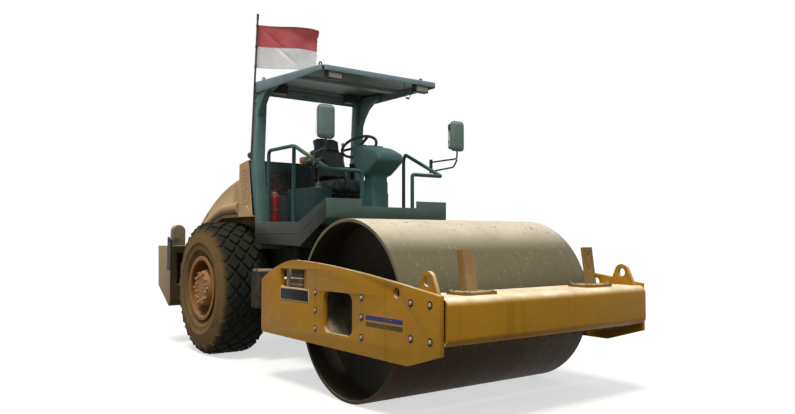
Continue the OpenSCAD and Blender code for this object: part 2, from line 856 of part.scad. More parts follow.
// Backrest: its outline as shares of its depth and height, leaning back from the cushion
back_high = 2500;
back_set = 150;
back_x0 = seat_back_x - back_set;
back_depth = 240;
back_in = 10;
back_outline = [[0.46, 0], [1, 0], [0.67, 0.48], [0.38, 1], [0, 1], [0.17, 0.37]];
module seat_back() {
  low = cushion_z + cushion_h + 2 * seat_gap;
  half = cushion_half - back_in;
  color(black) at_axle() side_sheet(-half, half)
    polygon([for (p = back_outline) [back_x0 + p.x * back_depth, low + p.y * (back_high - low)]]);
}

// Side console to the right of the seat
side_box_in = 325;
side_box_out = 530;
side_box_top = 1860;
side_box_front = seat_front_x + 70;
side_box_recess = 6;
side_box_door = [320, 200];
module side_console() {
  color(dark_paint) at_axle() difference() {
    block([seat_back_x, -side_box_out, floor_z], [side_box_front, -side_box_in, side_box_top]);
    block([seat_back_x + side_box_door.x, -side_box_in - side_box_recess, floor_z + side_box_door.y],
          [side_box_front + over, -side_box_in + over, side_box_top + over]);
  }
}

// Steering console: pedestal on the foot plate, instrument pod and steering column
stem_half = 100;
stem_back = 1850;
stem_front = 2050;
stem_taper = [40, 30];
pod_half = 165;
pod_back = 1715;
pod_front = 2235;
pod_low = 1970;
pod_top = 2318;
pod_outline = [
  [0.34, 0.04], [0.57, 0], [1, 0.4], [0.96, 0.63], [0.63, 0.84], [0.09, 1], [0, 0.9], [0.14, 0.26]
];
wheel_x = 1650;
wheel_z = 2310;
wheel_tilt = 30;
column_r = 18;
column_len = 300;
module console() {
  stem_top = pod_low + (pod_top - pod_low) / 4;
  color(black) at_axle() {
    side_sheet(-stem_half, stem_half) polygon([
      [stem_back, deck_z(stem_back) + seat_gap], [stem_front, deck_z(stem_front) + seat_gap],
      [stem_front - stem_taper.y, stem_top], [stem_back + stem_taper.x, stem_top]
    ]);
    side_sheet(-pod_half, pod_half) polygon([for (p = pod_outline)
      [pod_back + p.x * (pod_front - pod_back), pod_low + p.y * (pod_top - pod_low)]]);
    translate([wheel_x, 0, wheel_z]) rotate([0, 180 - wheel_tilt, 0])
      cylinder(h = column_len, r = column_r);
  }
}

// Steering wheel: rim, three spokes and a hub that turns on the column
wheel_r = 190;
wheel_rim_r = 15;
wheel_hub_r = 42;
wheel_hub_h = 60;
wheel_hub_cap = 12;
spoke_w = 32;
spoke_t = 12;
module steering_wheel() {
  color(black) at_axle() translate([wheel_x, 0, wheel_z]) rotate([0, -wheel_tilt, 0]) {
    rotate_extrude() translate([wheel_r, 0]) circle(wheel_rim_r, $fn = 32);
    difference() {
      translate([0, 0, -wheel_hub_h + wheel_hub_cap]) cylinder(h = wheel_hub_h, r = wheel_hub_r);
      translate([0, 0, -wheel_hub_h]) cylinder(h = wheel_hub_h + run_gap, r = column_r + run_gap);
    }
    for (a = [0, 120, 240]) rotate([0, 0, a])
      block([(column_r + wheel_hub_r) / 2, -spoke_w / 2, -spoke_t / 2],
            [wheel_r - 2 * over, spoke_w / 2, spoke_t / 2]);
  }
}

// Fire extinguisher on the floor by the right post
bottle_r = 65;
bottle_h = 290;
bottle_shoulder = [15, 30];
bottle_neck_r = 22;
bottle_neck_z = 340;
bottle_top = 365;
bottle_place = [880, -600];
lever_back = 90;
lever_front = 25;
lever_w = 20;
lever_t = 20;
module fire_extinguisher() {
  r = bottle_r;
  color(red) at_axle() translate([bottle_place.x, bottle_place.y, floor_z]) {
    rotate_extrude() polygon([
      [0, 0], [r, 0], [r, bottle_h], [r - bottle_shoulder.x, bottle_h + bottle_shoulder.y],
      [bottle_neck_r, bottle_neck_z], [bottle_neck_r, bottle_top], [0, bottle_top]
    ]);
    translate([0, 0, bottle_top - lever_t / 2])
      block([-lever_back, -lever_w / 2, 0], [lever_front, lever_w / 2, lever_t]);
  }
}

// Air intake cap on the cowl
intake_x = 370;
intake_y = 70;
intake_pipe_r = 38;
intake_pipe_h = 60;
intake_cap_r = 62;
intake_cap_h = 62;
module air_intake() {
  slope = atan2(cowl_top - cowl_rear_top, cowl_head - cowl_back - cowl_lean);
  color(paint) at_axle() translate([intake_x, intake_y, cowl_z(intake_x)]) rotate([0, -slope, 0])
    translate([0, 0, seat_gap]) {
      cylinder(h = intake_pipe_h, r = intake_pipe_r);
      translate([0, 0, intake_pipe_h - intake_cap_h / 6]) cylinder(h = intake_cap_h, r = intake_cap_r);
    }
}

// Flag pole tied to the right post, and its flag
pole_r = 11;
pole_y = -max(post_out, canopy_half) - pole_r - seat_gap;
pole_low = [575, pole_y, 2214];
pole_high = [718, pole_y, 3830];
pole_lean = atan2(pole_high.x - pole_low.x, pole_high.z - pole_low.z);
flag_top_gap = 110;
flag_t = 6;
flag_wave = 26;
flag_turn = 76;
module flag_pole() {
  color(steel) at_axle() {
    bar(pole_low, pole_high, pole_r);
    translate(pole_high) sphere(pole_r + 4);
  }
}
module flag() {
  steps = 24;
  function wave(t) = flag_wave * t * sin(t * 500);
  start = pole_r + seat_gap;
  color(red) at_axle() translate(pole_high) rotate([0, pole_lean, 0])
    translate([0, 0, -flag_top_gap - flag_hoist]) rotate([0, 0, flag_turn]) linear_extrude(flag_hoist)
      polygon(concat(
        [for (i = [0:steps]) let (t = i / steps) [start + t * flag_fly, wave(t) + flag_t / 2]],
        [for (i = [steps:-1:0]) let (t = i / steps) [start + t * flag_fly, wave(t) - flag_t / 2]]
      ));
}

// Hinge block: steering pins, the trunnion for the front frame and the rods' arms
boss_reach = 20;
boss_len = 200;
collar_r = 130;
rod_arm_r = 75;
rod_arm_t = 40;
module hinge_block() {
  low = ear_low + ear_t + ear_gap;
  high = ear_high - ear_gap;
  boss_back = rear_beam_back - boss_reach;
  color(black) at_pivot() {
    translate([0, 0, low]) cylinder(h = high - low, r = block_r);
    translate([0, 0, ear_low]) cylinder(h = ear_high + ear_t - ear_low, r = pivot_pin_r);
    translate([0, 0, hitch_z]) rotate([0, 90, 0]) {
      cylinder(h = boss_back + boss_len, r = trunnion_r);
      cylinder(h = boss_back - seat_gap, r = collar_r);
    }
    both_sides() translate([rod_pin.x, 0, arm_top - rod_arm_t]) {
      translate([0, -rod_pin.y, 0]) cylinder(h = rod_arm_t, r = rod_arm_r);
      block([-rod_arm_r, -rod_pin.y, 0], [rod_arm_r, 0, rod_arm_t]);
    }
  }
}

// Side plates of the front frame, with an arched top edge
plate_front = front_reach - 40;
plate_peak_x = -706;
plate_rear_drop = 198;
plate_front_low = 546;
plate_tip_x = 909;
plate_tip_drop = 14;
plate_corner = 45;
rear_bow = 1.7;
front_bow = 1.5;
window_drop = 20;
upper_window_x = -734;
upper_window_w = 467;
upper_window_h = 165;
upper_window_r = 15;
upper_window_drop = 165;
lift_hole_x = 793;
lift_hole_drop = 72.5;
function plate_rear_z(t) = plate_peak - plate_rear_drop * pow(1 - t, rear_bow);
function plate_front_z(t) = plate_peak - (plate_peak - plate_front_top) * pow(t, front_bow);
module side_plate_shape() {
  steps = 10;
  front_run = plate_front - plate_peak_x;
  rear_run = plate_back + plate_peak_x;
  top_rear = [for (i = [0:steps]) let (t = i / steps) [-plate_back + rear_run * t, plate_rear_z(t)]];
  top_front = [for (i = [1:steps]) let (t = i / steps) [plate_peak_x + front_run * t, plate_front_z(t)]];
  foot = [for (a = [270:-15:180])
    [-plate_back + plate_corner * (1 + cos(a)), plate_bottom + plate_corner * (1 + sin(a))]];
  hole_z = plate_front_z((lift_hole_x - plate_peak_x) / front_run) - lift_hole_drop;
  difference() {
    polygon(concat(
      top_rear, top_front,
      [[plate_front, plate_front_low], [plate_tip_x, plate_bottom - plate_tip_drop]], foot
    ));
    translate([0, drum_z - window_drop]) round_rect(window_w, window_h, window_r);
    translate([upper_window_x, plate_peak - upper_window_drop])
      round_rect(upper_window_w, upper_window_h, upper_window_r);
    translate([lift_hole_x, hole_z]) circle(lift_hole_r);
  }
}
module side_plate_right() {
  color(paint) at_drum() side_sheet(-frame_half, -plate_in) side_plate_shape();
}
module side_plate_left() {
  color(paint) at_drum() side_sheet(plate_in, frame_half) side_plate_shape();
}

// Front beam: a box with round front edges between the side plates
module front_beam() {
  back = front_reach - beam_depth;
  h = beam_top - beam_bottom;
  color(paint) at_drum() side_sheet(-plate_in, plate_in) difference() {
    union() {
      translate([back, beam_bottom]) square([beam_depth - beam_edge_r, h]);
      translate([back, beam_bottom + beam_edge_r]) square([beam_depth, h - 2 * beam_edge_r]);
      for (z = [beam_bottom + beam_edge_r, beam_top - beam_edge_r])
        translate([front_reach - beam_edge_r, z]) circle(beam_edge_r);
    }
    translate([back + beam_wall, beam_bottom + beam_wall])
      square([beam_depth - beam_wall - max(beam_wall, beam_edge_r / 2), h - 2 * beam_wall]);
  }
}

// Rear beam: a box behind the drum with the boss in which the trunnion turns
boss_r = 150;
module rear_beam() {
  back = -pivot_back + rear_beam_back;
  front = back + rear_beam_depth;
  boss_back = back - boss_reach;
  color(paint) at_drum() difference() {
    union() {
      difference() {
        block([back, -plate_in, rear_beam_low], [front, plate_in, rear_beam_high]);
        block([back + beam_wall, -plate_in - over, rear_beam_low + beam_wall],
              [front - beam_wall, plate_in + over, rear_beam_high - beam_wall]);
      }
      translate([boss_back, 0, hitch_z]) rotate([0, 90, 0]) cylinder(h = boss_len, r = boss_r);
    }
    translate([boss_back - over, 0, hitch_z]) rotate([0, 90, 0])
      cylinder(h = boss_len + 2 * over, r = trunnion_r + run_gap);
  }
}

// Drum carriers: flanges on the side plates, cups inside the drum and stub shafts
carrier_r = 270;
carrier_wall = 20;
carrier_flange_t = 25;
carrier_flange_w = 800;
carrier_flange_h = 560;
carrier_flange_r = 60;
drum_hub_reach = 105;
carrier_gap = 30;
module drum_carriers() {
  head_face = drum_w / 2 - drum_recess;
  cup_end = head_face + drum_hub_reach + carrier_gap;
  color(black) at_drum() both_sides() {
    difference() {
      union() {
        side_sheet(-plate_in, -plate_in + carrier_flange_t) translate([0, drum_z])
          round_rect(carrier_flange_w, carrier_flange_h, carrier_flange_r);
        cross_bar(0, drum_z, -plate_in, -cup_end, carrier_r);
      }
      cross_bar(0, drum_z, -plate_in - over, -cup_end - carrier_wall, carrier_r - carrier_wall);
    }
    cross_bar(0, drum_z, -cup_end - over, -head_face + drum_head_t, drum_stub_r);
  }
}

// Lifting lugs on the front beam
lug_set = 220;
lug_half = 125;
lug_h = 180;
lug_round = 72;
lug_neck = 68;
lug_neck_rise = 24;
module beam_lugs() {
  eye = lug_h - lug_round;
  color(paint) at_drum() both_sides() side_sheet(-plate_in, -plate_in + lug_t)
    translate([front_reach - lug_set, beam_top]) difference() {
      union() {
        translate([0, eye]) circle(lug_round);
        polygon([
          [-lug_half, 0], [lug_half, 0], [lug_neck, eye + lug_neck_rise], [-lug_neck, eye + lug_neck_rise]
        ]);
      }
      translate([0, eye]) circle(lug_hole_r);
    }
}

// Posts on the front beam: an angle on the right, a flat bar with two holes on the left
beam_post_set = 240;
beam_post_y = 680;
beam_post_lean = 8;
base_half = [110, 150];
base_t = 22;
angle_half = 55;
angle_flange = 60;
angle_t = 12;
flat_half = 65;
flat_t = 18;
flat_hole_r = 10;
module beam_posts() {
  x = front_reach - beam_post_set;
  foot = beam_top + base_t / 2;
  color(paint) at_drum() {
    for (y = [-beam_post_y, beam_post_y])
      block([x - base_half.x, y - base_half.y, beam_top],
            [x + base_half.x, y + base_half.y, beam_top + base_t]);
    translate([x, -beam_post_y, foot]) rotate([0, -beam_post_lean, 0]) {
      block([0, -angle_half, 0], [angle_t, angle_half, post_h]);
      block([-angle_flange, -angle_half, 0], [angle_t, -angle_half + angle_t, post_h]);
    }
    translate([x, beam_post_y, foot]) rotate([0, -beam_post_lean, 0]) difference() {
      block([0, -flat_half, 0], [flat_t, flat_half, post_h]);
      for (z = [post_h * 0.45, post_h * 0.8])
        translate([-over, 0, z]) rotate([0, 90, 0]) cylinder(h = flat_t + 2 * over, r = flat_hole_r);
    }
  }
}

// Scrapers: bars under the front beam and on the rear beam, just clear of the drum
scraper_gap = 14;
scraper_t = 15;
scraper_angle = 14;
scraper_short = 55;
scraper_front = 70;
scraper_knee = 60;
scraper_edge = 6;
scraper_rise = 120;
module scrapers() {
  r = drum_d / 2 + scraper_gap;
  half = drum_w / 2 - scraper_short;
  front = front_reach - scraper_front;
  knee = front_reach - beam_depth + scraper_knee;
  under = beam_bottom - scraper_t;
  rear_face = pivot_back - rear_beam_back - rear_beam_depth;
  tip = [r * cos(scraper_angle), drum_z - r * sin(scraper_angle)];
  color(steel) at_drum() {
    side_sheet(-half, half) polygon([
      [front, beam_bottom], [front, under], [knee, under],
      [tip.x + scraper_edge, tip.y - scraper_t], tip, [knee - scraper_t, beam_bottom]
    ]);
    side_sheet(-half, half) polygon([
      [-rear_face, tip.y + scraper_rise], [-rear_face, tip.y - scraper_t],
      [-tip.x - scraper_edge, tip.y - scraper_t], [-tip.x, tip.y],
      [-rear_face + scraper_t, tip.y + scraper_t], [-rear_face + scraper_t, tip.y + scraper_rise]
    ]);
  }
}

// Drum: shell, two heads set back from its ends, hub and inner tube
module drum() {
  r = drum_d / 2;
  half = drum_w / 2;
  head_face = half - drum_recess;
  hub_end = head_face + drum_hub_reach;
  bore = drum_stub_r + run_gap;
  color(steel) at_drum() translate([0, 0, drum_z]) rotate([90, 0, 0]) rotate_extrude($fn = 128) {
    translate([r - drum_shell_t, -half]) square([drum_shell_t, drum_w]);
    for (y = [-head_face, head_face - drum_head_t])
      translate([bore, y]) square([r - drum_shell_t / 2 - bore, drum_head_t]);
    translate([bore, -hub_end]) square([drum_hub_r - bore, 2 * hub_end]);
  }
}

// Wheels: rim with its disc and hub, and a hollow tyre, about the wheel's own axle
rim_in = 260;
rim_out = 270;
rim_wall = 22;
rim_lip_t = 16;
disc_out = 120;
disc_t = 22;
disc_dish = 60;
disc_step = 24;
hub_r = 200;
hub_rise = 145;
hub_back = 40;
hub_edge = [20, 30];
module rim_shape() {
  face = disc_out + hub_rise;
  seat = rim_r - rim_wall;
  bore = spindle_r + run_gap;
  bore_end = spindle_end - tyre_mid + over;
  rotate_extrude($fn = 96) {
    translate([seat, -rim_in]) square([rim_wall, rim_in + rim_out]);
    for (y = [-rim_in, rim_out - rim_lip_t]) translate([seat, y]) square([rim_wall + rim_flange, rim_lip_t]);
    polygon([
      [bore, disc_out - hub_back], [hub_r, disc_out - hub_back], [hub_r + hub_edge.y, disc_out - hub_edge.x],
      [seat + over, disc_out - disc_dish], [seat + over, disc_out - disc_dish + disc_t],
      [hub_r + hub_back, disc_out + disc_step - hub_edge.x], [hub_r, face - hub_edge.y],
      [hub_r - hub_edge.x, face], [0, face], [0, bore_end], [bore, bore_end]
    ]);
  }
}

// Tyres: a hollow casing with diamond blocks in staggered rows round its crown and shoulders
tread_h = 28;
tread_rows = 3;
tread_count = 22;
tread_pitch = 85;
tread_top = 0.72;
shoulder_r = 75;
shoulder_lean = 85;
casing_t = 42;
crown_t = 36;
crown_in = 70;
wide_drop = 215;
low_drop = 330;
low_set = 22;
bead_set = 62;
bead_rise = [30, 54];

function odd(k) = abs(k) % 2;
function halves(q) = [[q[0], q[1], q[2]], [q[0], q[2], q[3]]];

// A point of the tread: its way across, its turn about the axle and its height over the casing
function on_tread(s, a, h) =
  let (
    crown = tyre_w / 2 - shoulder_r - tread_h,
    lean = max(0, abs(s) - crown) / shoulder_r * 180 / PI,
    r = tyre_d / 2 - tread_h - shoulder_r + (shoulder_r + h) * cos(lean),
    y = min(abs(s), crown) + (shoulder_r + h) * sin(lean)
  )
  [r * cos(a), r * sin(a), sign(s) * y];

// Rings from the tread's edge down the outer wall, round the bead and back along the inside
function casing_rings(bead) =
  let (
    r = tyre_d / 2,
    w = tyre_w / 2,
    wall = [
      [r - wide_drop, w], [r - low_drop, w - low_set], [bead + bead_rise.x, w - bead_rise.y],
      [bead, w - bead_set], [bead, w - bead_set - casing_t], [r - wide_drop, w - casing_t],
      [r - tread_h - crown_t, w - casing_t - crown_in]
    ]
  )
  [each wall, for (i = [len(wall) - 1:-1:0]) [wall[i].x, -wall[i].y]];

module tyre_shape() {
  n = tread_count;
  pitch = 360 / n;
  start = -90;
  last = 2 * tread_rows;
  edge = tyre_w / 2 - shoulder_r - tread_h + shoulder_r * shoulder_lean * PI / 180;
  wall = casing_rings((rim_r + seat_gap) / cos(pitch / 4));
  rings = len(wall) + 1;
  top0 = (last + 1) * n;
  ring0 = top0 + 4 * top0;

  // Corners between the blocks, block tops, and rings
  corners = [for (c = [0:last], i = [0:n - 1])
    on_tread((c - tread_rows) * tread_pitch, start + (i + (1 - odd(c - tread_rows)) / 2) * pitch, 0)];
  tops = [for (c = [0:last], i = [0:n - 1])
    let (
      s = (c - tread_rows) * tread_pitch,
      a = start + (i + odd(c - tread_rows) / 2) * pitch,
      up = tread_top * (c == last ? edge - s : tread_pitch),
      down = tread_top * (c == 0 ? edge + s : tread_pitch),
      side = tread_top * pitch / 2
    )
    each [
      on_tread(s - down, a, tread_h), on_tread(s, a + side, tread_h),
      on_tread(s + up, a, tread_h), on_tread(s, a - side, tread_h)
    ]];
  bands = [for (m = [0:rings], q = [0:2 * n - 1])
    let (a = start + q * pitch / 2)
    m == 0 ? on_tread(edge, a, 0) : m == rings ? on_tread(-edge, a, 0) :
    [wall[m - 1].x * cos(a), wall[m - 1].x * sin(a), wall[m - 1].y]];

  function corner(c, i) = c * n + (i + n) % n;
  function band(m, q) = ring0 + m * 2 * n + (q + 2 * n) % (2 * n);

  blocks = [for (c = [0:last], i = [0:n - 1])
    let (
      k = c - tread_rows,
      o = odd(k),
      t = top0 + 4 * corner(c, i),
      foot = [
        c == 0 ? band(rings, 2 * i + o) : corner(c - 1, i), corner(c, i + o),
        c == last ? band(0, 2 * i + o) : corner(c + 1, i), corner(c, i + o - 1)
      ]
    )
    each concat(
      abs(k) < tread_rows - 1 ? halves([t, t + 3, t + 2, t + 1]) : halves([t + 3, t + 2, t + 1, t]),
      [for (j = [0:3]) let (b = (j + 3) % 4) each halves([foot[j], foot[b], t + b, t + j])]
    )];
  edges = [for (i = [0:n - 1])
    let (q = 2 * i + 1 - odd(tread_rows))
    each [
      [corner(last, i), band(0, q - 1), band(0, q)], [corner(last, i), band(0, q), band(0, q + 1)],
      [corner(0, i), band(rings, q + 1), band(rings, q)], [corner(0, i), band(rings, q), band(rings, q - 1)]
    ]];
  strips = [for (m = [0:rings - 1], q = [0:2 * n - 1])
    each halves([band(m, q), band(m + 1, q), band(m + 1, q + 1), band(m, q + 1)])];
  polyhedron(concat(corners, tops, bands), concat(blocks, edges, strips));
}
module wheel_place() {
  at_axle() translate([0, -tyre_mid, axle_z]) rotate([90, 0, 0]) children();
}
module rim_right() { color(paint) wheel_place() rim_shape(); }
module tyre_right() { color(black) wheel_place() tyre_shape(); }
module rim_left() { color(paint) mirror([0, 1, 0]) wheel_place() rim_shape(); }
module tyre_left() { color(black) mirror([0, 1, 0]) wheel_place() tyre_shape(); }

// Hood: a sloping shell over the engine, rounded along its upper edges, with a flare over each tyre
hood_front = cowl_back - 6;
hood_tail = -1235;
hood_front_top = 2070;
hood_slope = 150;
hood_sag = 515;
hood_lean = 48;
hood_lift = 3;
flare_r = [85, 28];
flare_out = [38, 12];
flare_in = 30;
flare_lift = 12;
sliver = 1;
function hood_top(x) =
  let (t = (hood_front - x) / (hood_front - hood_tail))
  hood_front_top - hood_slope * t - hood_sag * t * t;
hood_stations = concat(
  [hood_front, (hood_front + lip_bend) / 2],
  [for (i = [0:lip_steps]) lip_bend + (lip_tail - lip_bend) * i / lip_steps],
  [hood_tail]
);
module hood_slice(x, place, inset) {
  top = hood_top(place);
  low = lip_at(place) + hood_lift;
  r = min(hood_edge_r, (top - low) / 2) - inset;
  half = hood_half - inset;
  for (side = [-1, 1]) {
    translate([x, side * (hood_half - hood_lean - r - inset), top - inset - r]) rotate([0, 90, 0])
      cylinder(h = sliver, r = r, $fn = 32);
    translate([x, side > 0 ? half - sliver : -half, inset > 0 ? low - hood_edge_r : low])
      cube([sliver, sliver, sliver]);
  }
}
module hood_solid(inset) {
  last = len(hood_stations) - 1;
  for (i = [0:last - 1]) {
    a = hood_stations[i];
    b = hood_stations[i + 1];
    hull() {
      hood_slice(inset > 0 && i == 0 ? a + sliver : a, a, inset);
      hood_slice(inset > 0 && i == last - 1 ? b + inset : b, b, inset);
    }
  }
}
module hood_hinge() {
  root = hinge_x - 3 * hinge_lug_r;
  side_sheet(-hinge_y - hinge_play - hinge_lug_t, -hinge_y - hinge_play) difference() {
    union() {
      translate([hinge_x, hinge_z]) circle(hinge_lug_r, $fn = 32);
      polygon([
        [root, hood_top(root) - hood_wall + over], [hinge_x - hinge_pin_r, hinge_z + hinge_lug_r - over],
        [hinge_x, hinge_z - hinge_lug_r + over], [hood_front, hood_front_top - hood_wall + over]
      ]);
    }
    translate([hinge_x, hinge_z]) circle(hinge_pin_r + over, $fn = 32);
  }
}
module hood_flare() {
  function share(x) = (hood_front - x) / (hood_front - hood_tail);
  function along(ends, x) = ends[0] + (ends[1] - ends[0]) * share(x);
  line = [for (x = hood_stations)
    [x, -hood_half + along(flare_r, x) - along(flare_out, x), lip_at(x) + flare_lift + along(flare_r, x)]];
  difference() {
    pipe(line, [for (x = hood_stations) along(flare_r, x)], 20);
    block([hood_tail - hood_edge_r, flare_in - hood_half, 0], [hood_front + over, 0, hood_front_top]);
  }
}
module hood() {
  color(paint) at_axle() {
    difference() {
      hood_solid(0);
      hood_solid(hood_wall);
    }
    both_sides() {
      hood_flare();
      hood_hinge();
    }
  }
}

// Steering cylinders: a barrel on the hitch head and a rod to the hinge block's arm
cyl_len = norm(rod_pin - barrel_pin);
cyl_turn = atan2(rod_pin.y - barrel_pin.y, rod_pin.x - barrel_pin.x);
barrel_len = 430;
barrel_base = 60;
barrel_flat = 20;
barrel_pin_r = 20;
barrel_pin_play = 0.7;
eye_out = 48;
eye_h = 38;
rod_tail = 260;
module cylinder_place() {
  at_pivot() translate([barrel_pin.x, barrel_pin.y, cyl_z]) rotate([0, 0, cyl_turn]) children();
}
module steer_barrel() {
  wide = 2 * barrel_r;
  pin_h = eye_h + 2 * barrel_pin_play;
  cylinder_place() {
    translate([0, 0, -eye_h / 2]) cylinder(h = eye_h, r = eye_out);
    translate([0, 0, -pin_h / 2]) cylinder(h = pin_h, r = barrel_pin_r);
    difference() {
      rotate([0, 90, 0]) cylinder(h = barrel_len, r = barrel_r);
      for (z = [eye_h / 2, -eye_h / 2 - wide])
        block([-over, -wide, z], [eye_out + barrel_flat, wide, z + wide]);
      translate([barrel_base, 0, 0]) rotate([0, 90, 0]) cylinder(h = barrel_len, r = rod_r + run_gap);
    }
  }
}
module steer_rod() {
  cylinder_place() {
    translate([rod_tail, 0, 0]) rotate([0, 90, 0]) cylinder(h = cyl_len - rod_tail, r = rod_r);
    translate([cyl_len, 0, arm_top + seat_gap - cyl_z]) cylinder(h = cyl_z - arm_top + rod_r, r = eye_out);
  }
}

module steer_barrel_left() { color(black) steer_barrel(); }
module steer_rod_left() { color(steel) steer_rod(); }
module steer_barrel_right() { color(black) mirror([0, 1, 0]) steer_barrel(); }
module steer_rod_right() { color(steel) mirror([0, 1, 0]) steer_rod(); }

chassis_rails();
hitch_head();
rear_axle();
engine_block();
counterweight();
tail_lamps();
engine_shrouds();
hood_cowl();
rear_wall();
rops_foot();
rops_posts();
canopy();
canopy_eyes();
work_lamps();
platform();
platform_bearers();
access_steps();
side_tanks();
handrail_right();
handrail_left();
mirror_arms();
mirror_heads();
seat_frame();
seat_cushion();
seat_back();
side_console();
console();
fire_extinguisher();
air_intake();
flag_pole();
flag();
hinge_block();
side_plate_right();
side_plate_left();
front_beam();
rear_beam();
drum_carriers();
beam_lugs();
beam_posts();
scrapers();
drum();
rim_right();
tyre_right();
rim_left();
tyre_left();
hood();
steering_wheel();
steer_barrel_right();
steer_rod_right();
steer_barrel_left();
steer_rod_left();
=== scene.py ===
import json
import math

import bpy
import numpy as np
from mathutils import Matrix, Vector

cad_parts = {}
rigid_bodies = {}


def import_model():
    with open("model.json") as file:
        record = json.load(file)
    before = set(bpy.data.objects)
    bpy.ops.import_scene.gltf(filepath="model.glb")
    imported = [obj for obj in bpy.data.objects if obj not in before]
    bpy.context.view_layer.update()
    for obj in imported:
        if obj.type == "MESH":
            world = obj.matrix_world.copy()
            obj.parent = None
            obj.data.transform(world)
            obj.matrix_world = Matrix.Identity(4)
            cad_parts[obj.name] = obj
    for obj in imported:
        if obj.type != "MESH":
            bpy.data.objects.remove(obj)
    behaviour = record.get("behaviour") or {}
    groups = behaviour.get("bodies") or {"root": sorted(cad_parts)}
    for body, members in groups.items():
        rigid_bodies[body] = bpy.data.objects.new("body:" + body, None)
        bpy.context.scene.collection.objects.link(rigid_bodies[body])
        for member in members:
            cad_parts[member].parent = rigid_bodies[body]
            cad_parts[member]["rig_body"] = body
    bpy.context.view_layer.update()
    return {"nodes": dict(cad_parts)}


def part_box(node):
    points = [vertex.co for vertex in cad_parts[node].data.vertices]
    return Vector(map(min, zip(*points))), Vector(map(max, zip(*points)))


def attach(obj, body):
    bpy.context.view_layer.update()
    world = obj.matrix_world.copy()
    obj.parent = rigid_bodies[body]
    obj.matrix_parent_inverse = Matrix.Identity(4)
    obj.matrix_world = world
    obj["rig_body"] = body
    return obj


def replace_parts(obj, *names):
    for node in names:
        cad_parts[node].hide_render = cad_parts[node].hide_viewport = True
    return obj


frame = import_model()

# Camera and studio
# A pale sweep of floor under a soft sky light and one broad lamp from above, with the camera at the
# photograph's viewing angle. White comes from the floor and the sky as the camera sees them; to the
# object the floor is dull earth, so its underside stays dark.
CAMERA_PLACE = (6.512, -4.294, 1.345)
CAMERA_HEADING = 142.83
CAMERA_PITCH = 2.41
CAMERA_LENS = 32.52
LAMPS = {"key": ((0.24, -0.30, 0.92), 3.1, 14, (1.0, 0.95, 0.86)),
         "fill": ((0.75, -0.30, 0.55), 0.5, 50, (1.0, 1.0, 1.0))}
WHITE = (1, 1, 1, 1)
HAZE = (0.90, 1.0, 1.06)
EARTH, SWEEP = (0.10, 0.085, 0.065, 1), (0.86, 0.86, 0.85, 1)
FLOOR_SIZE = 90
FLOOR_GLOW = 0.62


class Value:
    """A shader's value, colour or vector that sums can be written with."""

    def __init__(self, socket):
        self.socket, self.tree = socket, socket.id_data

    def calc(self, operation, other=0.0):
        return Value(add(self.tree, "Math", {0: self, 1: other}, operation=operation).outputs[0])

    def __add__(self, other):
        return self.calc("ADD", other)

    def __sub__(self, other):
        return self.calc("SUBTRACT", other)

    def __mul__(self, other):
        return self.calc("MULTIPLY", other)

    def __rsub__(self, other):
        return self * -1.0 + other

    def __abs__(self):
        return self.calc("ABSOLUTE")

    def most(self, other):
        return self.calc("MAXIMUM", other)

    def wave(self, pitch):
        return (self * (2 * math.pi / pitch)).calc("SINE")

    def clamped(self):
        self.socket.node.use_clamp = True
        return self

    def to(self, socket):
        self.tree.links.new(self.socket, socket)


def add(tree, kind, sockets=(), **settings):
    """Adds a shader node, with its settings, and its sockets linked or set."""
    node = tree.nodes.new("ShaderNode" + kind)
    for key, value in settings.items():
        setattr(node, key, value)
    for key, value in dict(sockets).items():
        if isinstance(value, Value):
            value.to(node.inputs[key])
        else:
            node.inputs[key].default_value = value
    return node


def source(tree, kind, output):
    """What an input node gives."""
    return Value(add(tree, kind).outputs[output])


def split(vector):
    """The three numbers of a vector."""
    return [Value(s) for s in add(vector.tree, "SeparateXYZ", {0: vector}).outputs]


def spread(value, low, high, start=0.0, end=1.0, shape="LINEAR"):
    """A value between start and end laid out from low to high."""
    sockets = {"Value": value, "From Min": start, "From Max": end, "To Min": low, "To Max": high}
    return Value(add(value.tree, "MapRange", sockets, interpolation_type=shape).outputs[0])


def tint(factor, a, b):
    """Colour b laid over colour a where the factor says."""
    return Value(add(factor.tree, "Mix", {0: factor, 6: a, 7: b}, data_type="RGBA").outputs[2])


def scaled(colour, factor):
    """A colour made lighter or darker by a value."""
    return Value(add(factor.tree, "VectorMath", {0: colour[:3], "Scale": factor},
                     operation="SCALE").outputs[0])


def seen_rays(tree):
    """1 for rays from the camera, from gloss and through glass."""
    camera, gloss, glass = (source(tree, "LightPath", "Is %s Ray" % kind)
                            for kind in ("Camera", "Glossy", "Transmission"))
    return camera.most(gloss).most(glass)


def surface(name, roughness=0.6, metallic=0.0, specular=0.5):
    """A plain material, with its tree and its shader's sockets."""
    material = bpy.data.materials.new(name)
    material.use_nodes = True
    skin = material.node_tree.nodes["Principled BSDF"].inputs
    for socket, value in (("Roughness", roughness), ("Metallic", metallic), ("Specular IOR Level", specular)):
        skin[socket].default_value = value
    return material, material.node_tree, skin


def placed(name, data):
    """A new object in the scene."""
    piece = bpy.data.objects.new(name, data)
    bpy.context.scene.collection.objects.link(piece)
    return piece


camera = placed("camera", bpy.data.cameras.new("camera"))
camera.location = CAMERA_PLACE
camera.rotation_euler = (math.radians(90 + CAMERA_PITCH), 0, math.radians(CAMERA_HEADING - 90))
camera.data.lens, camera.data.sensor_width, camera.data.clip_end = CAMERA_LENS, 36, 200
bpy.context.scene.camera = camera
bpy.context.scene.view_settings.view_transform = "Standard"
for name, (toward, energy, breadth, colour) in LAMPS.items():
    lamp = placed(name, bpy.data.lights.new(name, "SUN"))
    lamp.rotation_euler = Vector(toward).to_track_quat("Z", "Y").to_euler()
    lamp.data.energy, lamp.data.angle, lamp.data.color = energy, math.radians(breadth), colour

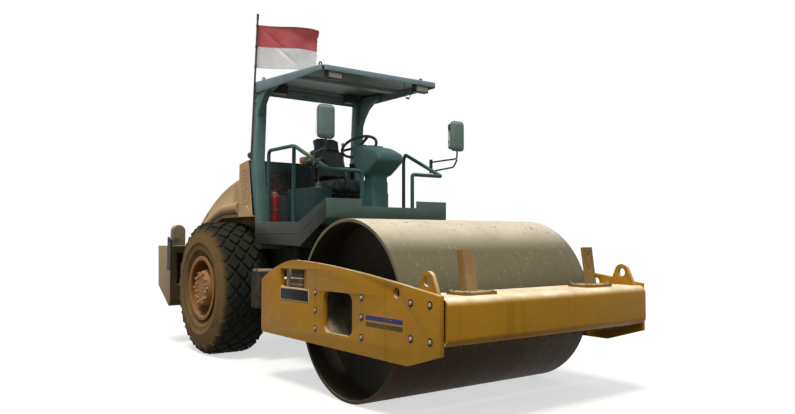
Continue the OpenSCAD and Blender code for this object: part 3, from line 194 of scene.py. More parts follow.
sky = bpy.data.worlds.new("sky")
sky.use_nodes = True
bpy.context.scene.world = sky
tree = sky.node_tree
height = split(source(tree, "TexCoord", "Generated"))[2]
haze = scaled(HAZE, spread(height, 0.22, 0.55, -0.1, 0.9))
tint(seen_rays(tree), haze, WHITE).to(tree.nodes["Background"].inputs["Color"])

bpy.ops.object.select_all(action="DESELECT")
bpy.ops.mesh.primitive_plane_add(size=FLOOR_SIZE)
floor = bpy.context.object
floor.name = "floor"
material, tree, skin = surface("floor", roughness=0.9)
floor.data.materials.append(material)
seen = seen_rays(tree)
tint(seen, EARTH, SWEEP).to(skin["Base Color"])
glow = Value(add(tree, "Emission", {"Color": WHITE, "Strength": 1.0}).outputs[0])
lit = add(tree, "MixShader",
          {0: seen * FLOOR_GLOW, 1: Value(tree.nodes["Principled BSDF"].outputs[0]), 2: glow})
Value(lit.outputs[0]).to(tree.nodes["Material Output"].inputs["Surface"])

# Chassis, axle, hitch and tanks
# Flame-cut plate and castings, welded up into the rear frame, the hinge block and the drum's carriers, in
# black enamel. The tone drifts from panel to panel, pale dust lies on what faces up, dirt runs down the
# sides, mud from the wheels clings low down, edges are rubbed to rust, and every edge is painted paler as a
# highlight.
DUST = (0.56, 0.46, 0.31, 1)
MUD = (0.16, 0.105, 0.055, 1)
RUST = (0.10, 0.042, 0.018, 1)
SOOT = (0.016, 0.017, 0.017, 1)


def effect(name, given, made):
    """A shader node group with named inputs and outputs."""
    tree = bpy.data.node_groups.new(name, "ShaderNodeTree")
    for socket, value in given.items():
        tree.interface.new_socket(socket, in_out="INPUT", socket_type="NodeSocketFloat").default_value = value
    for socket in made:
        tree.interface.new_socket(socket, in_out="OUTPUT", socket_type="NodeSocketFloat")
    inputs = tree.nodes.new("NodeGroupInput").outputs
    return tree, {key: Value(inputs[key]) for key in given}, tree.nodes.new("NodeGroupOutput").inputs


def noise(place, scale, detail=4.0, stretch=(1, 1, 1)):
    """Noise over the piece, drawn out along an axis where stretch is small."""
    spot = Value(add(place.tree, "Mapping", {"Vector": place, "Scale": stretch}).outputs[0])
    return Value(add(place.tree, "TexNoise", {"Vector": spot, "Scale": scale, "Detail": detail,
                                              "Roughness": 0.6}).outputs["Fac"])


def ramp(value, low, high):
    """0 below low, 1 above high, smooth between."""
    return spread(value, 0.0, 1.0, low, high, "SMOOTHSTEP")


def dot(a, b):
    """How far one vector reaches along another."""
    return Value(add(a.tree, "VectorMath", {0: a, 1: b}, operation="DOT_PRODUCT").outputs["Value"])


def where(tree):
    """Place on the piece, as a vector and as its three numbers."""
    place = source(tree, "TexCoord", "Object")
    return place, split(place)


def normal(tree):
    """Which way the surface faces, as three numbers."""
    return split(source(tree, "NewGeometry", "Normal"))


dust, given, made = effect("Site dust", {"Lying": 0.6, "Film": 0.15, "Mud": 0.3}, ["Dust", "Mud", "Runs"])
place, along = where(dust)
level = ramp(normal(dust)[2], 0.15, 0.95)
patches = ramp(noise(place, 5.0, 6.0), 0.3, 0.72)
fine = ramp(noise(place, 90.0, 3.0), 0.25, 0.8)
lying = level * (patches * 0.5 + 0.5) * given["Lying"]
(lying + patches * fine * given["Film"]).clamped().to(made["Dust"])
splash = ramp(along[2], 1.1, 0.2) * ramp(noise(place, 11.0, 8.0), 0.34, 0.64)
(splash * given["Mud"]).clamped().to(made["Mud"])
runs = ramp(noise(place, 6.0, 5.0, (1.0, 1.0, 0.07)), 0.52, 0.75)
(runs * (1 - level)).clamped().to(made["Runs"])

spray, given, made = effect("Sprayed grain", {"Drift": 0.2}, ["Shade", "Height"])
place = where(spray)[0]
((noise(place, 2.2, 7.0) - 0.5) * 2.0 * given["Drift"] + 1.0).to(made["Shade"])
(noise(place, 260.0, 2.0) + noise(place, 9.0) * 0.8).to(made["Height"])

# Worn edges: rust chips in the mask, and the whole edge band, which painted() uses for a painted highlight.
edge_wear_and_highlight, given, made = effect("Edge wear and highlight", {"Radius": 0.008, "Amount": 0.6}, ["Mask", "Edge"])
rounded = Value(add(edge_wear_and_highlight, "Bevel", {"Radius": given["Radius"]}, samples=4).outputs[0])
edge = ramp(1 - dot(rounded, source(edge_wear_and_highlight, "NewGeometry", "Normal")), 0.02, 0.16)
chips = ramp(noise(where(edge_wear_and_highlight)[0], 34.0, 8.0), 0.50, 0.60)
(edge * (chips * given["Amount"])).clamped().to(made["Mask"])
edge.to(made["Edge"])


def use(tree, group, **values):
    """Places an effect in a material with its own values."""
    node = tree.nodes.new("ShaderNodeGroup")
    node.node_tree = group
    for key, value in values.items():
        node.inputs[key].default_value = value
    return {socket.name: Value(socket) for socket in node.outputs}


def bumped(skin, height, strength, distance):
    """Relief from a height."""
    relief = add(height.tree, "Bump", {"Height": height, "Strength": strength, "Distance": distance})
    Value(relief.outputs[0]).to(skin["Normal"])


def toned(paint, share, lift=0.0):
    """A paint's colour made lighter or darker."""
    return tuple(min(1.0, share * c + lift) for c in paint[:3]) + (1,)


def painted(name, paint, lying=0.5, film=0.12, mud=0.25, drift=0.18, wear=0.6, gloss=0.42, bare=RUST,
            over=None, relief=None, dry=DUST):
    """Enamel on steel with dust, runs of dirt, worn edges and a painted edge highlight; over lays more colour,
    relief more height.
    """
    material, tree, skin = surface(name, specular=0.10)
    grain = use(tree, spray, Drift=drift)
    soil = use(tree, dust, Lying=lying, Film=film, Mud=mud)
    worn = use(tree, edge_wear_and_highlight, Radius=0.009, Amount=wear)
    colour = scaled(paint, grain["Shade"])
    if over:
        colour = over(tree, colour)
    colour = tint(soil["Runs"] * 0.4, colour, toned(paint, 0.45))
    # Painted highlight: a paler paint along every edge.
    colour = tint(worn["Edge"] * 0.35, colour, toned(paint, 1.5, 0.02))
    colour = tint(soil["Dust"], tint(soil["Mud"], colour, MUD), dry)
    tint(worn["Mask"], colour, bare).to(skin["Base Color"])
    spread(soil["Dust"].most(soil["Mud"]), gloss, 0.92).to(skin["Roughness"])
    height = grain["Height"] + relief(tree) if relief else grain["Height"]
    bumped(skin, height, 0.25, 0.0012)
    return material


def solo(piece):
    """Makes one piece the only one selected."""
    bpy.ops.object.select_all(action="DESELECT")
    bpy.context.view_layer.objects.active = piece
    piece.select_set(True)
    return piece


def opened(piece):
    """Opens a piece in edit mode with all of it selected."""
    solo(piece)
    bpy.ops.object.mode_set(mode="EDIT")
    bpy.ops.mesh.select_all(action="SELECT")
    return piece


def shut():
    """Leaves edit mode."""
    bpy.ops.object.mode_set(mode="OBJECT")


def smooth(angle):
    """Smooths the edges that bend less than an angle."""
    bpy.ops.object.shade_smooth_by_angle(angle=math.radians(angle))


def modify(piece, kind, **settings):
    """Changes a piece with a modifier, which is applied."""
    solo(piece)
    change = piece.modifiers.new(kind.lower(), kind)
    for key, value in settings.items():
        setattr(change, key, value)
    bpy.ops.object.modifier_apply(modifier=change.name)
    return piece


def settle(piece, material, body="rear_frame"):
    """Puts a finished piece on its body with its material; its place goes into its mesh."""
    solo(piece)
    bpy.ops.object.transform_apply(location=True, rotation=True, scale=True)
    piece.data.materials.clear()
    piece.data.materials.append(material)
    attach(piece, body)
    return piece


def copied(node, name, flat=False):
    """A copy of a solid with its points welded and, if flat, its level faces made one."""
    piece = opened(placed(name, frame["nodes"][node].data.copy()))
    bpy.ops.mesh.remove_doubles(threshold=0.00002)
    if flat:
        bpy.ops.mesh.dissolve_limited(angle_limit=math.radians(0.5))
    shut()
    return piece


def eased(node, width, material, segments=2, limit=30):
    """A copy of a solid whose edges are ground round; it stands for the solid."""
    piece = copied(node, node + "_plate", flat=True)
    if width:
        modify(piece, "BEVEL", width=width, segments=segments, limit_method="ANGLE",
               angle_limit=math.radians(limit))
    smooth(limit)
    settle(piece, material, frame["nodes"][node]["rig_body"])
    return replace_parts(piece, node)


black_enamel = painted("black_enamel", SOOT, mud=0.7, drift=0.3, wear=0.4, gloss=0.5)
for node, width in {"chassis_rails": 0.004, "hitch_head": 0.006, "rear_axle": 0.006, "side_tanks": 0.03,
                    "platform_bearers": 0.004, "hinge_block": 0.008, "drum_carriers": 0.004}.items():
    eased(node, width, black_enamel)

# Side tanks' straps
# Two flat steel bands round each tank, in black enamel. Each is bent round the tank's edges and holds it to
# the chassis rails.
BAND_HALF, BAND_THICK, BAND_REACH = 0.016, 0.004, 0.30


def start(kind, name, place=(0, 0, 0), stretch=(1, 1, 1), **sizes):
    """A new primitive at its size and place, alone selected and open in edit mode."""
    bpy.ops.object.select_all(action="DESELECT")
    getattr(bpy.ops.mesh, "primitive_" + kind + "_add")(location=place, **sizes)
    piece = bpy.context.object
    piece.name = name
    piece.scale = stretch
    bpy.ops.object.transform_apply(location=True, rotation=True, scale=True)
    return opened(piece)


def close(piece, angle=35):
    """Leaves edit mode with the piece's soft edges smoothed."""
    shut()
    smooth(angle)
    return piece


def ease(offset, segments=1):
    """Grinds the selected edges round."""
    bpy.ops.mesh.bevel(offset=offset, segments=segments, affect="EDGES")


def block(name, low, high, offset, segments=2):
    """A block between two corners with its edges eased, still open."""
    low, high = Vector(low), Vector(high)
    piece = start("cube", name, (low + high) / 2, high - low, size=1)
    ease(offset, segments)
    return piece


def bar(name, low, high, offset, segments=2):
    """A bar or plate between two corners with its edges eased."""
    return close(block(name, low, high, offset, segments))


def joined(pieces, name):
    """Several pieces made one."""
    solo(pieces[0])
    for piece in pieces[1:]:
        piece.select_set(True)
    bpy.ops.object.join()
    pieces[0].name = name
    return pieces[0]


def both_sides(piece):
    """The piece and its mirror image over the middle plane."""
    return modify(piece, "MIRROR", use_axis=(False, True, False))


tank_low, tank_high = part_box("side_tanks")
bands = []
for share in (0.28, 0.72):
    x = tank_low.x + share * (tank_high.x - tank_low.x)
    bands.append(bar("tank_band", (x - BAND_HALF, tank_low.y - BAND_THICK, tank_low.z - BAND_THICK),
                     (x + BAND_HALF, tank_low.y + BAND_REACH, tank_high.z + BAND_THICK), 0.012, 3))
settle(both_sides(joined(bands, "tank_bands")), black_enamel)

# Engine
# A plain cast iron block under the hood, bolted between the chassis rails. It is dull grey, and oily dust lies
# on it.
cast_iron = painted("cast_iron", (0.06, 0.06, 0.058, 1), lying=0.6, film=0.3, mud=0.4, drift=0.4, wear=0.1,
                    gloss=0.7)
eased("engine_block", 0.03, cast_iron, segments=3)

# Counterweight
# One thick casting across the tail in tan enamel, with painted shade darkening its faces towards the tyres,
# and black tie-down plates welded to its front corners.
TIE_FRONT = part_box("counterweight")[1].x - 0.115
TIE_LOW, TIE_TOP, TIE_SIDE = 0.923, 1.2385, 1.0740


def tie_plates_and_front_shade(tree, colour):
    """The tie-down plates' own black over the casting's tan, and painted shade on what faces the tyres."""
    along = where(tree)[1]
    plate = ramp(abs(along[1]), TIE_SIDE, TIE_SIDE + 0.0005) * ramp(along[0], TIE_FRONT, TIE_FRONT + 0.001)
    plate = plate * ramp(along[2], TIE_LOW, TIE_LOW + 0.001)
    # Painted shade: the faces towards the tyres are darkened.
    colour = tint(ramp(normal(tree)[0], 0.6, 0.9), colour, (0.045, 0.030, 0.010, 1))
    return tint(plate.most(ramp(along[2], TIE_TOP, TIE_TOP + 0.0005)), colour, SOOT)


weight_enamel = painted("weight_enamel", (0.285, 0.195, 0.088, 1), lying=0.6, film=0.08, mud=0.3, drift=0.3,
                        wear=0.7, over=tie_plates_and_front_shade)
eased("counterweight", 0.014, weight_enamel, segments=3)

# Tail lamps
# Moulded housings on the counterweight's top, tan with dust, each with an amber and a red lens clipped into
# its rear face. The lenses are ribbed upright.
LENS_SIDES = (-0.970, -0.830)


def moulded(name, plastic, lying=0.5, film=0.2, gloss=0.55):
    """Moulded plastic with a fine grain under dust."""
    material, tree, skin = surface(name, specular=0.25)
    grain = use(tree, spray, Drift=0.3)
    soil = use(tree, dust, Lying=lying, Film=film, Mud=0.1)["Dust"]
    tint(soil, scaled(plastic, grain["Shade"]), DUST).to(skin["Base Color"])
    spread(soil, gloss, 0.9).to(skin["Roughness"])
    bumped(skin, grain["Height"], 0.4, 0.0008)
    return material


def ribbed_lens(name, colour, pitch):
    """Clear moulded plastic, ribbed upright and painted darker between the ribs as shade, with patches of dust.
    """
    material, tree, skin = surface(name, roughness=0.22)
    skin["Coat Weight"].default_value = 0.5
    place, along = where(tree)
    rib = along[1].wave(pitch) * 0.5 + 0.5
    soil = ramp(noise(place, 30.0, 5.0), 0.4, 0.75) * 0.45
    # Painted shade: the colour is darker between the ribs and lighter on them.
    tint(soil, scaled(colour, rib * 0.5 + 0.65), DUST).to(skin["Base Color"])
    bumped(skin, rib, 0.8, 0.003)
    return material


def pick(piece, kind, test):
    """Selects only the faces or edges of an open piece that pass a test."""
    bpy.ops.mesh.select_all(action="DESELECT")
    shut()
    for part in getattr(piece.data, kind):
        part.select = test(part)
    bpy.ops.object.mode_set(mode="EDIT")


def clipped_lens(name, low, high, face, material):
    """A lens bulging from a housing's face, on both sides of the machine."""
    piece = block(name, low, high, 0.006)
    pick(piece, "polygons", lambda flat: flat.normal.x * face > 0.99)
    bpy.ops.mesh.inset(thickness=0.012, depth=0.004)
    settle(both_sides(close(piece)), material)


dusty_plastic = moulded("dusty_plastic", (0.07, 0.060, 0.045, 1), lying=0.7, film=0.8, gloss=0.7)
black_plastic = moulded("black_plastic", (0.014, 0.020, 0.020, 1), lying=0.2, film=0.06)
eased("tail_lamps", 0.010, dusty_plastic, segments=3)
lamp_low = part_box("tail_lamps")[0]
for name, colour, low, high in (("stop_lens", (0.30, 0.010, 0.008, 1), 0.015, 0.11),
                                ("turn_lens", (0.50, 0.12, 0.010, 1), 0.12, 0.20)):
    clipped_lens(name, (lamp_low.x - 0.008, LENS_SIDES[0], lamp_low.z + low),
                 (lamp_low.x + 0.004, LENS_SIDES[1], lamp_low.z + high), -1, ribbed_lens(name, colour, 0.007))

# Hood, cowl and engine bay sides
# Pressed sheet in ochre enamel, paler than the frame's as painted sunlight; the cowl is painted paler
# still and the hood a little darker, as lit and shaded copies of the one paint. The hood hinges on the
# cowl's rear edge, seals on a rubber strip down its side, and both stand on the bay sides; a finned
# radiator stands inside the cowl.
# Painted sunlight: a paler ochre than the frame's for the hood and bay sides, and a paler one still for the
# cowl.
PALE_SUNLIT_OCHRE = (0.41, 0.262, 0.118, 1)
COWL_LIT_OCHRE = (0.50, 0.330, 0.165, 1)
SEAL_MIDDLE, SEAL_HALF = (-2.335, -0.74, 1.575), (0.155, 0.009, 1)
FIN, TUBE = 0.012, 0.03
sunned = {"mud": 0.1, "drift": 0.2, "wear": 0.35, "gloss": 0.5}
sunlit_enamel = painted("sunlit_enamel", PALE_SUNLIT_OCHRE, lying=0.22, film=0.08, **sunned)
# The hood is painted a little darker and the cowl paler, as shaded and lit copies of the one paint.
hood_enamel = painted("hood_enamel", toned(PALE_SUNLIT_OCHRE, 0.84), lying=0.12, film=0.06, **sunned)
cowl_enamel = painted("cowl_enamel", COWL_LIT_OCHRE, lying=0.2, film=0.06, **sunned)
eased("hood", 0.0, hood_enamel, limit=24)
eased("hood_cowl", 0.0, cowl_enamel)
eased("engine_shrouds", 0.003, sunlit_enamel)
eased("air_intake", 0.008, sunlit_enamel, segments=3)

rubber_seal = moulded("rubber_seal", (0.020, 0.019, 0.017, 1), lying=0.3, film=0.3, gloss=0.8)
seal = start("plane", "hood_seals", SEAL_MIDDLE, SEAL_HALF, size=2)
for turn, axis in ((90, "X"), (33, "Y")):
    bpy.ops.transform.rotate(value=math.radians(turn), orient_axis=axis, center_override=SEAL_MIDDLE)
bpy.ops.mesh.subdivide(number_cuts=12)
close(seal)
modify(seal, "SHRINKWRAP", target=bpy.data.objects["hood_plate"], offset=0.0012)
modify(seal, "SOLIDIFY", thickness=0.003, offset=1)
settle(both_sides(seal), rubber_seal, "hood")

radiator, tree, skin = surface("radiator", roughness=0.7)
place, along = where(tree)
depth = along[1].wave(FIN) + along[2].wave(TUBE)
# Painted shade: darker between the fins and tubes, lighter on their crests.
fins_and_groove_shade = scaled((0.012, 0.012, 0.011), spread(depth, 0.5, 1.3, -2.0, 2.0))
tint(ramp(noise(place, 12.0), 0.5, 0.8), fins_and_groove_shade, (0.04, 0.032, 0.022, 1)).to(skin["Base Color"])
bumped(skin, depth, 0.6, 0.003)
settle(bar("radiator_core", (-1.205, -0.725, 1.60), (-0.985, 0.725, 2.178), 0.012), radiator)

# Platform, wall and steps
# Folded and welded sheet in slate enamel, bolted to the chassis rails. The floor is chequer plate; the wall
# behind the seat has a window of expanded metal.
SLATE = (0.066, 0.104, 0.094, 1)
# Dark slate painted on the platform's sideways faces as shade.
SIDE_SHADE = (0.028, 0.034, 0.030, 1)
GREY_METAL = (0.16, 0.17, 0.16, 1)
FLOOR_Z = 1.485
LOZENGE = 0.030
SEAM_Y, SEAM_WIDE, SEAM_THICK = -0.7475, 0.008, 0.003


def chequer(tree):
    """Raised lozenges on what faces up, as rolled into floor plate."""
    along = where(tree)[1]
    lozenge = (along[0] + along[1]).wave(2 * LOZENGE) * (along[0] - along[1]).wave(2 * LOZENGE)
    floor_only = ramp(normal(tree)[2], 0.9, 0.95) * ramp(along[2], FLOOR_Z - 0.01, FLOOR_Z)
    return ramp(lozenge, 0.35, 0.6) * floor_only * 3.0


def shaded_sides(tree, colour):
    """Painted shade on the faces that face sideways, beside the wheels."""
    return tint(ramp(abs(normal(tree)[1]), 0.8, 0.95), colour, SIDE_SHADE)


def strip(name, start_at, end_at, wide, thick):
    """A flat strip on the machine's right side, from one point to another."""
    run = Vector(end_at) - Vector(start_at)
    piece = bar(name, (0, -wide / 2, -thick / 2), (run.length, wide / 2, thick / 2), thick * 0.4)
    piece.data.transform(Matrix.Translation(start_at) @ Matrix.Rotation(math.atan2(-run.z, run.x), 4, "Y")
                         @ Matrix.Rotation(math.radians(90), 4, "X"))
    return piece


# Its sideways faces take painted shade.
floor_enamel = painted("floor_enamel", SLATE, lying=0.4, film=0.05, mud=0.15, drift=0.3, wear=0.7,
                       bare=GREY_METAL, over=shaded_sides, relief=chequer)
eased("platform", 0.004, floor_enamel)
seam = [strip("seam", (x0, SEAM_Y, z0), (x1, SEAM_Y, z1), SEAM_WIDE, SEAM_THICK)
        for x0, z0, x1, z1 in ((-0.775, 1.391, 0.216, 1.387), (0.214, 1.386, 0.717, 1.642))]
settle(both_sides(joined(seam, "fascia_seams")), black_enamel)
wall_enamel = painted("wall_enamel", (0.030, 0.046, 0.050, 1), lying=0.2, film=0.05, mud=0.1, bare=GREY_METAL)
eased("rear_wall", 0.002, wall_enamel)
# The side console's slate is painted darker than the platform's, as painted shade.
box_enamel = painted("box_enamel", (0.012, 0.036, 0.039, 1), lying=0.12, film=0.02, mud=0.1, wear=0.5,
                     bare=GREY_METAL)
eased("side_console", 0.012, box_enamel)
slate_enamel = painted("slate_enamel", SLATE, lying=0.22, film=0.05, mud=0.15, drift=0.25, bare=GREY_METAL)
eased("rops_foot", 0.008, slate_enamel)
eased("access_steps", 0.003, slate_enamel)
rail_enamel = painted("rail_enamel", (0.025, 0.076, 0.068, 1), lying=0.2, film=0.02, mud=0.1, drift=0.25,
                      bare=GREY_METAL)
for node in ("handrail_right", "handrail_left"):
    eased(node, 0.0, rail_enamel, limit=40)

# Window's expanded metal
# Strands of steel, dark with oil, slit and drawn out of one sheet into diamonds. The sheet is welded behind the
# opening in the wall.
WINDOW_LOW, WINDOW_HIGH = Vector((-0.556, 1.834)), Vector((-0.184, 2.106))
MESH_WIDE, MESH_HIGH = 0.040, 0.030
STRAND_R, STRAND_DEEP, SHORTEST = 0.0032, 0.022, 0.01
WALL_DEEP = 0.045


def points_of(mesh):
    """A mesh's points as rows of numbers."""
    return np.array([v.co for v in mesh.vertices])


def copies(name, mesh, places):
    """One piece from copies of a mesh, each at its own place and turn."""
    co = points_of(mesh)
    faces = [tuple(f.vertices) for f in mesh.polygons]
    points, polygons = [], []
    for at in places:
        turn, move = np.array(at.to_3x3()), np.array(at.translation)
        polygons += [tuple(i + len(points) for i in f) for f in faces]
        points += (co @ turn.T + move).tolist()
    made = bpy.data.meshes.new(name)
    made.from_pydata(points, [], polygons)
    return placed(name, made)


def facing(point, direction, spin=0.0):
    """A place whose z axis points along a direction."""
    aim = Vector(direction).to_track_quat("Z", "Y").to_matrix().to_4x4()
    return Matrix.Translation(point) @ aim @ Matrix.Rotation(spin, 4, "Z")


def rounder(name, radius, depth, offset, segments=1, vertices=20, place=(0, 0, 0)):
    """An upright round bar or disc with its edges eased."""
    piece = start("cylinder", name, place, vertices=vertices, radius=radius, depth=depth)
    ease(offset, segments)
    return close(piece)


def taken(piece):
    """The mesh of a piece that served only to make it."""
    mesh = piece.data
    bpy.data.objects.remove(piece)
    return mesh


wall_low, wall_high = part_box("rear_wall")
lean = (wall_low.x - wall_high.x + WALL_DEEP) / (wall_high.z - wall_low.z)
count = int((WINDOW_HIGH.x - WINDOW_LOW.x) / MESH_WIDE + (WINDOW_HIGH.y - WINDOW_LOW.y) / MESH_HIGH)
strands = []
for slope in (1, -1):
    first = WINDOW_LOW.x if slope > 0 else WINDOW_HIGH.x
    for i in range(1, count):
        low, high = ([first + slope * (i * MESH_WIDE - (z - WINDOW_LOW.y) / MESH_HIGH * MESH_WIDE), z]
                     for z in (WINDOW_LOW.y, WINDOW_HIGH.y))
        for end, other in ((low, high), (high, low)):
            kept = min(max(end[0], WINDOW_LOW.x), WINDOW_HIGH.x)
            if other[0] != end[0]:
                end[1] = end[1] + (kept - end[0]) * (other[1] - end[1]) / (other[0] - end[0])
            end[0] = kept
        if abs(high[1] - low[1]) > SHORTEST:
            a, b = (Vector((wall_high.x - STRAND_DEEP + lean * (z - wall_low.z), y, z))
                    for y, z in (low, high))
            strands.append(facing((a + b) / 2, b - a) @ Matrix.Diagonal((1, 1, (b - a).length, 1)))
strand = taken(rounder("strand", STRAND_R, 1, 0.0006, vertices=6))
settle(copies("window_strands", strand, strands), black_enamel)

# Posts and canopy
# Box posts cranked back at the wall's top carry a folded sheet roof with a rolled rim, bolted at each post;
# the roof's underside is a darker slate and its top pale with dust.
GUSSET_LINE = [(-0.83, 2.70), (-0.797, 2.70), (-0.742, 2.80), (-0.66, 2.895), (-0.56, 2.955), (-0.43, 2.99),
               (-0.41, 3.035), (-0.77, 3.053), (-0.83, 3.02)]
GUSSET_Y, GUSSET_THICK = -0.716, 0.074
POST_BOLTS = ((-0.765, 1.36), (-0.765, 1.46), (-0.842, 2.86), (-0.842, 2.92))


def dark_underside(tree, colour):
    """A darker slate under the roof."""
    return tint(ramp(normal(tree)[2], -0.6, -0.9), colour, (0.090, 0.135, 0.128, 1))


def bolt_mesh(radius, height, washer=1.45):
    """A hexagon head on a washer, standing on z = 0."""
    piece = start("cylinder", "bolt", (0, 0, height * 0.125), vertices=12, radius=radius * washer,
                  depth=height * 0.25)
    bpy.ops.mesh.primitive_cylinder_add(vertices=6, radius=radius, depth=height * 0.75,
                                        location=(0, 0, height * 0.625))
    ease(radius * 0.14)
    shut()
    return taken(piece)


roof_enamel = painted("roof_enamel", (0.185, 0.270, 0.300, 1), lying=0.35, film=0.05, mud=0.0, drift=0.25,
                      wear=0.5, bare=GREY_METAL, over=dark_underside)
# The posts' slate is painted lighter than the platform's, as painted light on their shaded faces.
post_enamel = painted("post_enamel", (0.116, 0.206, 0.202, 1), lying=0.2, film=0.05, mud=0.0, drift=0.3,
                      bare=GREY_METAL)
eased("rops_posts", 0.012, post_enamel)
eased("canopy", 0.010, roof_enamel)
eased("canopy_eyes", 0.0, black_enamel, limit=40)
gusset = start("circle", "post_gussets", vertices=len(GUSSET_LINE), radius=1, fill_type="NGON")
shut()
for v, (x, z) in zip(gusset.data.vertices, reversed(GUSSET_LINE)):
    v.co = (x, GUSSET_Y, z)
opened(gusset)
bpy.ops.mesh.extrude_region_move(TRANSFORM_OT_translate={"value": (0, GUSSET_THICK, 0)})
bpy.ops.mesh.select_all(action="SELECT")
bpy.ops.mesh.normals_make_consistent(inside=False)
ease(0.004, 2)
settle(both_sides(close(gusset)), post_enamel)
post_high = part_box("rops_posts")[1]
places = [facing((x, out * post_high.y, z), (0, out, 0)) for out in (-1, 1) for x, z in POST_BOLTS]
bolt_steel = painted("bolt_steel", (0.11, 0.105, 0.095, 1), lying=0.4, film=0.3, mud=0.1, drift=0.5, wear=0.3,
                     gloss=0.45)
settle(copies("post_bolts", bolt_mesh(0.012, 0.014), places), bolt_steel)

# Work lamps and their leads
# Square black housings hung under the roof's rim, with ribbed beige lenses facing front and rear. The front
# left lamp's lead hangs in a loop with a black connector in it, and the rear left one in a short loop.
RELIEF_SPOT = (0.484, 0.50, 2.93)
FRONT_LEAD = [(0.494, 0.50, 2.93), (0.478, 0.50, 2.93), (0.462, 0.4975, 2.922), (0.451, 0.490, 2.900)]
FRONT_LEAD += [(0.446, y, z) for y, z in ((0.477, 2.872), (0.461, 2.852), (0.441, 2.844), (0.420, 2.854),
                                          (0.405, 2.878), (0.398, 2.910), (0.397, 2.945), (0.397, 2.978),
                                          (0.397, 3.008))]
REAR_LEAD = [(-0.722, y, z) for y, z in ((0.564, 2.990), (0.582, 2.990), (0.600, 2.994), (0.616, 3.008),
                                         (0.622, 3.028), (0.620, 3.048), (0.618, 3.070))]
eased("work_lamps", 0.008, black_plastic, segments=3)
beige_lens = ribbed_lens("beige_lens", (0.42, 0.37, 0.27, 1), 0.014)
clipped_lens("front_lens", (0.557, -0.626, 2.911), (0.567, -0.474, 2.998), 1, beige_lens)
clipped_lens("rear_lens", (-0.761, -0.556, 2.972), (-0.751, -0.404, 3.059), -1, beige_lens)


def lead(name, knots, diameter):
    """A lead on a smooth curve through knots, out of a lamp and into the roof."""
    knots = [Vector(k) for k in knots]
    ends = [knots[0] * 2 - knots[1]] + knots + [knots[-1] * 2 - knots[-2]]
    route = []
    for a, b, c, d in zip(ends, ends[1:], ends[2:], ends[3:]):
        for t in (0.0, 1 / 3, 2 / 3):
            route.append(0.5 * (2 * b + (c - a) * t + (2 * a - 5 * b + 4 * c - d) * t ** 2
                                + (3 * b - a - 3 * c + d) * t ** 3))
    route.append(knots[-1])
    line = bpy.data.curves.new(name, "CURVE")
    line.dimensions, line.bevel_depth, line.bevel_resolution, line.use_fill_caps = "3D", diameter / 2, 3, True
    strand = line.splines.new("POLY")
    strand.points.add(len(route) - 1)
    for point, spot in zip(strand.points, route):
        point.co = (*spot, 1)
    piece = settle(placed(name, line), rubber_seal)
    length = sum((b - a).length for a, b in zip(route, route[1:]))


relief = start("cone", "lead_relief", RELIEF_SPOT, vertices=16, radius1=0.0075, radius2=0.0045, depth=0.022)
bpy.ops.transform.rotate(value=math.radians(90), orient_axis="Y", center_override=RELIEF_SPOT)
ease(0.0008)
settle(close(relief), rubber_seal)
plug = bar("lead_connector", (0.437, 0.424, 2.835), (0.455, 0.466, 2.853), 0.004)
settle(plug, black_plastic)
lead("front_lamp_lead", FRONT_LEAD, 0.007)
lead("rear_lamp_lead", REAR_LEAD, 0.005)

# Mirrors
# Moulded heads, dull and speckled with dust behind, with glass set in their rear faces, on arms bent from
# tube and clamped to the handrails.
HEAD_WIDE = 0.184
GLASS_SPOT, GLASS_SIZE = (0.7922, -0.815, 2.42), (0.0075, 0.150, 0.284)


def rounded_block(name, middle, size, corner):
    """A block whose edges along x are rounded."""
    piece = start("cube", name, middle, size, size=1)
    ends = piece.data.vertices
    pick(piece, "edges",
         lambda line: abs(ends[line.vertices[0]].co.x - ends[line.vertices[1]].co.x) > size[0] / 2)
    ease(corner, 6)
    shut()
    return piece


def dulled_metal(name, grain, limits, clean, dirty, rough):
    """Bright metal, dulled in patches."""
    material, tree, skin = surface(name, metallic=1.0)
    dull = ramp(noise(where(tree)[0], *grain), *limits)
    tint(dull, clean, dirty).to(skin["Base Color"])
    spread(dull, *rough).to(skin["Roughness"])
    return material


arm_enamel = painted("arm_enamel", (0.022, 0.042, 0.036, 1), lying=0.12, film=0.03, mud=0.0, drift=0.3,
                     wear=0.5)
eased("mirror_arms", 0.0, arm_enamel, limit=40)
mirror_back = painted("mirror_back", (0.125, 0.188, 0.172, 1), lying=0.3, mud=0.0, drift=0.3, wear=0.3,
                      gloss=0.6)
head_low, head_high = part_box("mirror_heads")
heads = rounded_block("mirror_shells",
                      (head_low + head_high) / 2 + Vector((0, head_low.y + HEAD_WIDE / 2, 0)),
                      (head_high.x - head_low.x, HEAD_WIDE, head_high.z - head_low.z), 0.045)
modify(heads, "BEVEL", width=0.02, segments=4, limit_method="ANGLE", angle_limit=math.radians(40))
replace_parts(settle(both_sides(close(heads, 40)), mirror_back), "mirror_heads")
mirror_glass = dulled_metal("mirror_glass", (14.0, 6.0), (0.35, 0.75), (0.78, 0.80, 0.80, 1),
                            (0.52, 0.50, 0.45, 1), (0.03, 0.4))
glass = close(rounded_block("mirror_glasses", GLASS_SPOT, GLASS_SIZE, 0.032))
settle(both_sides(glass), mirror_glass)

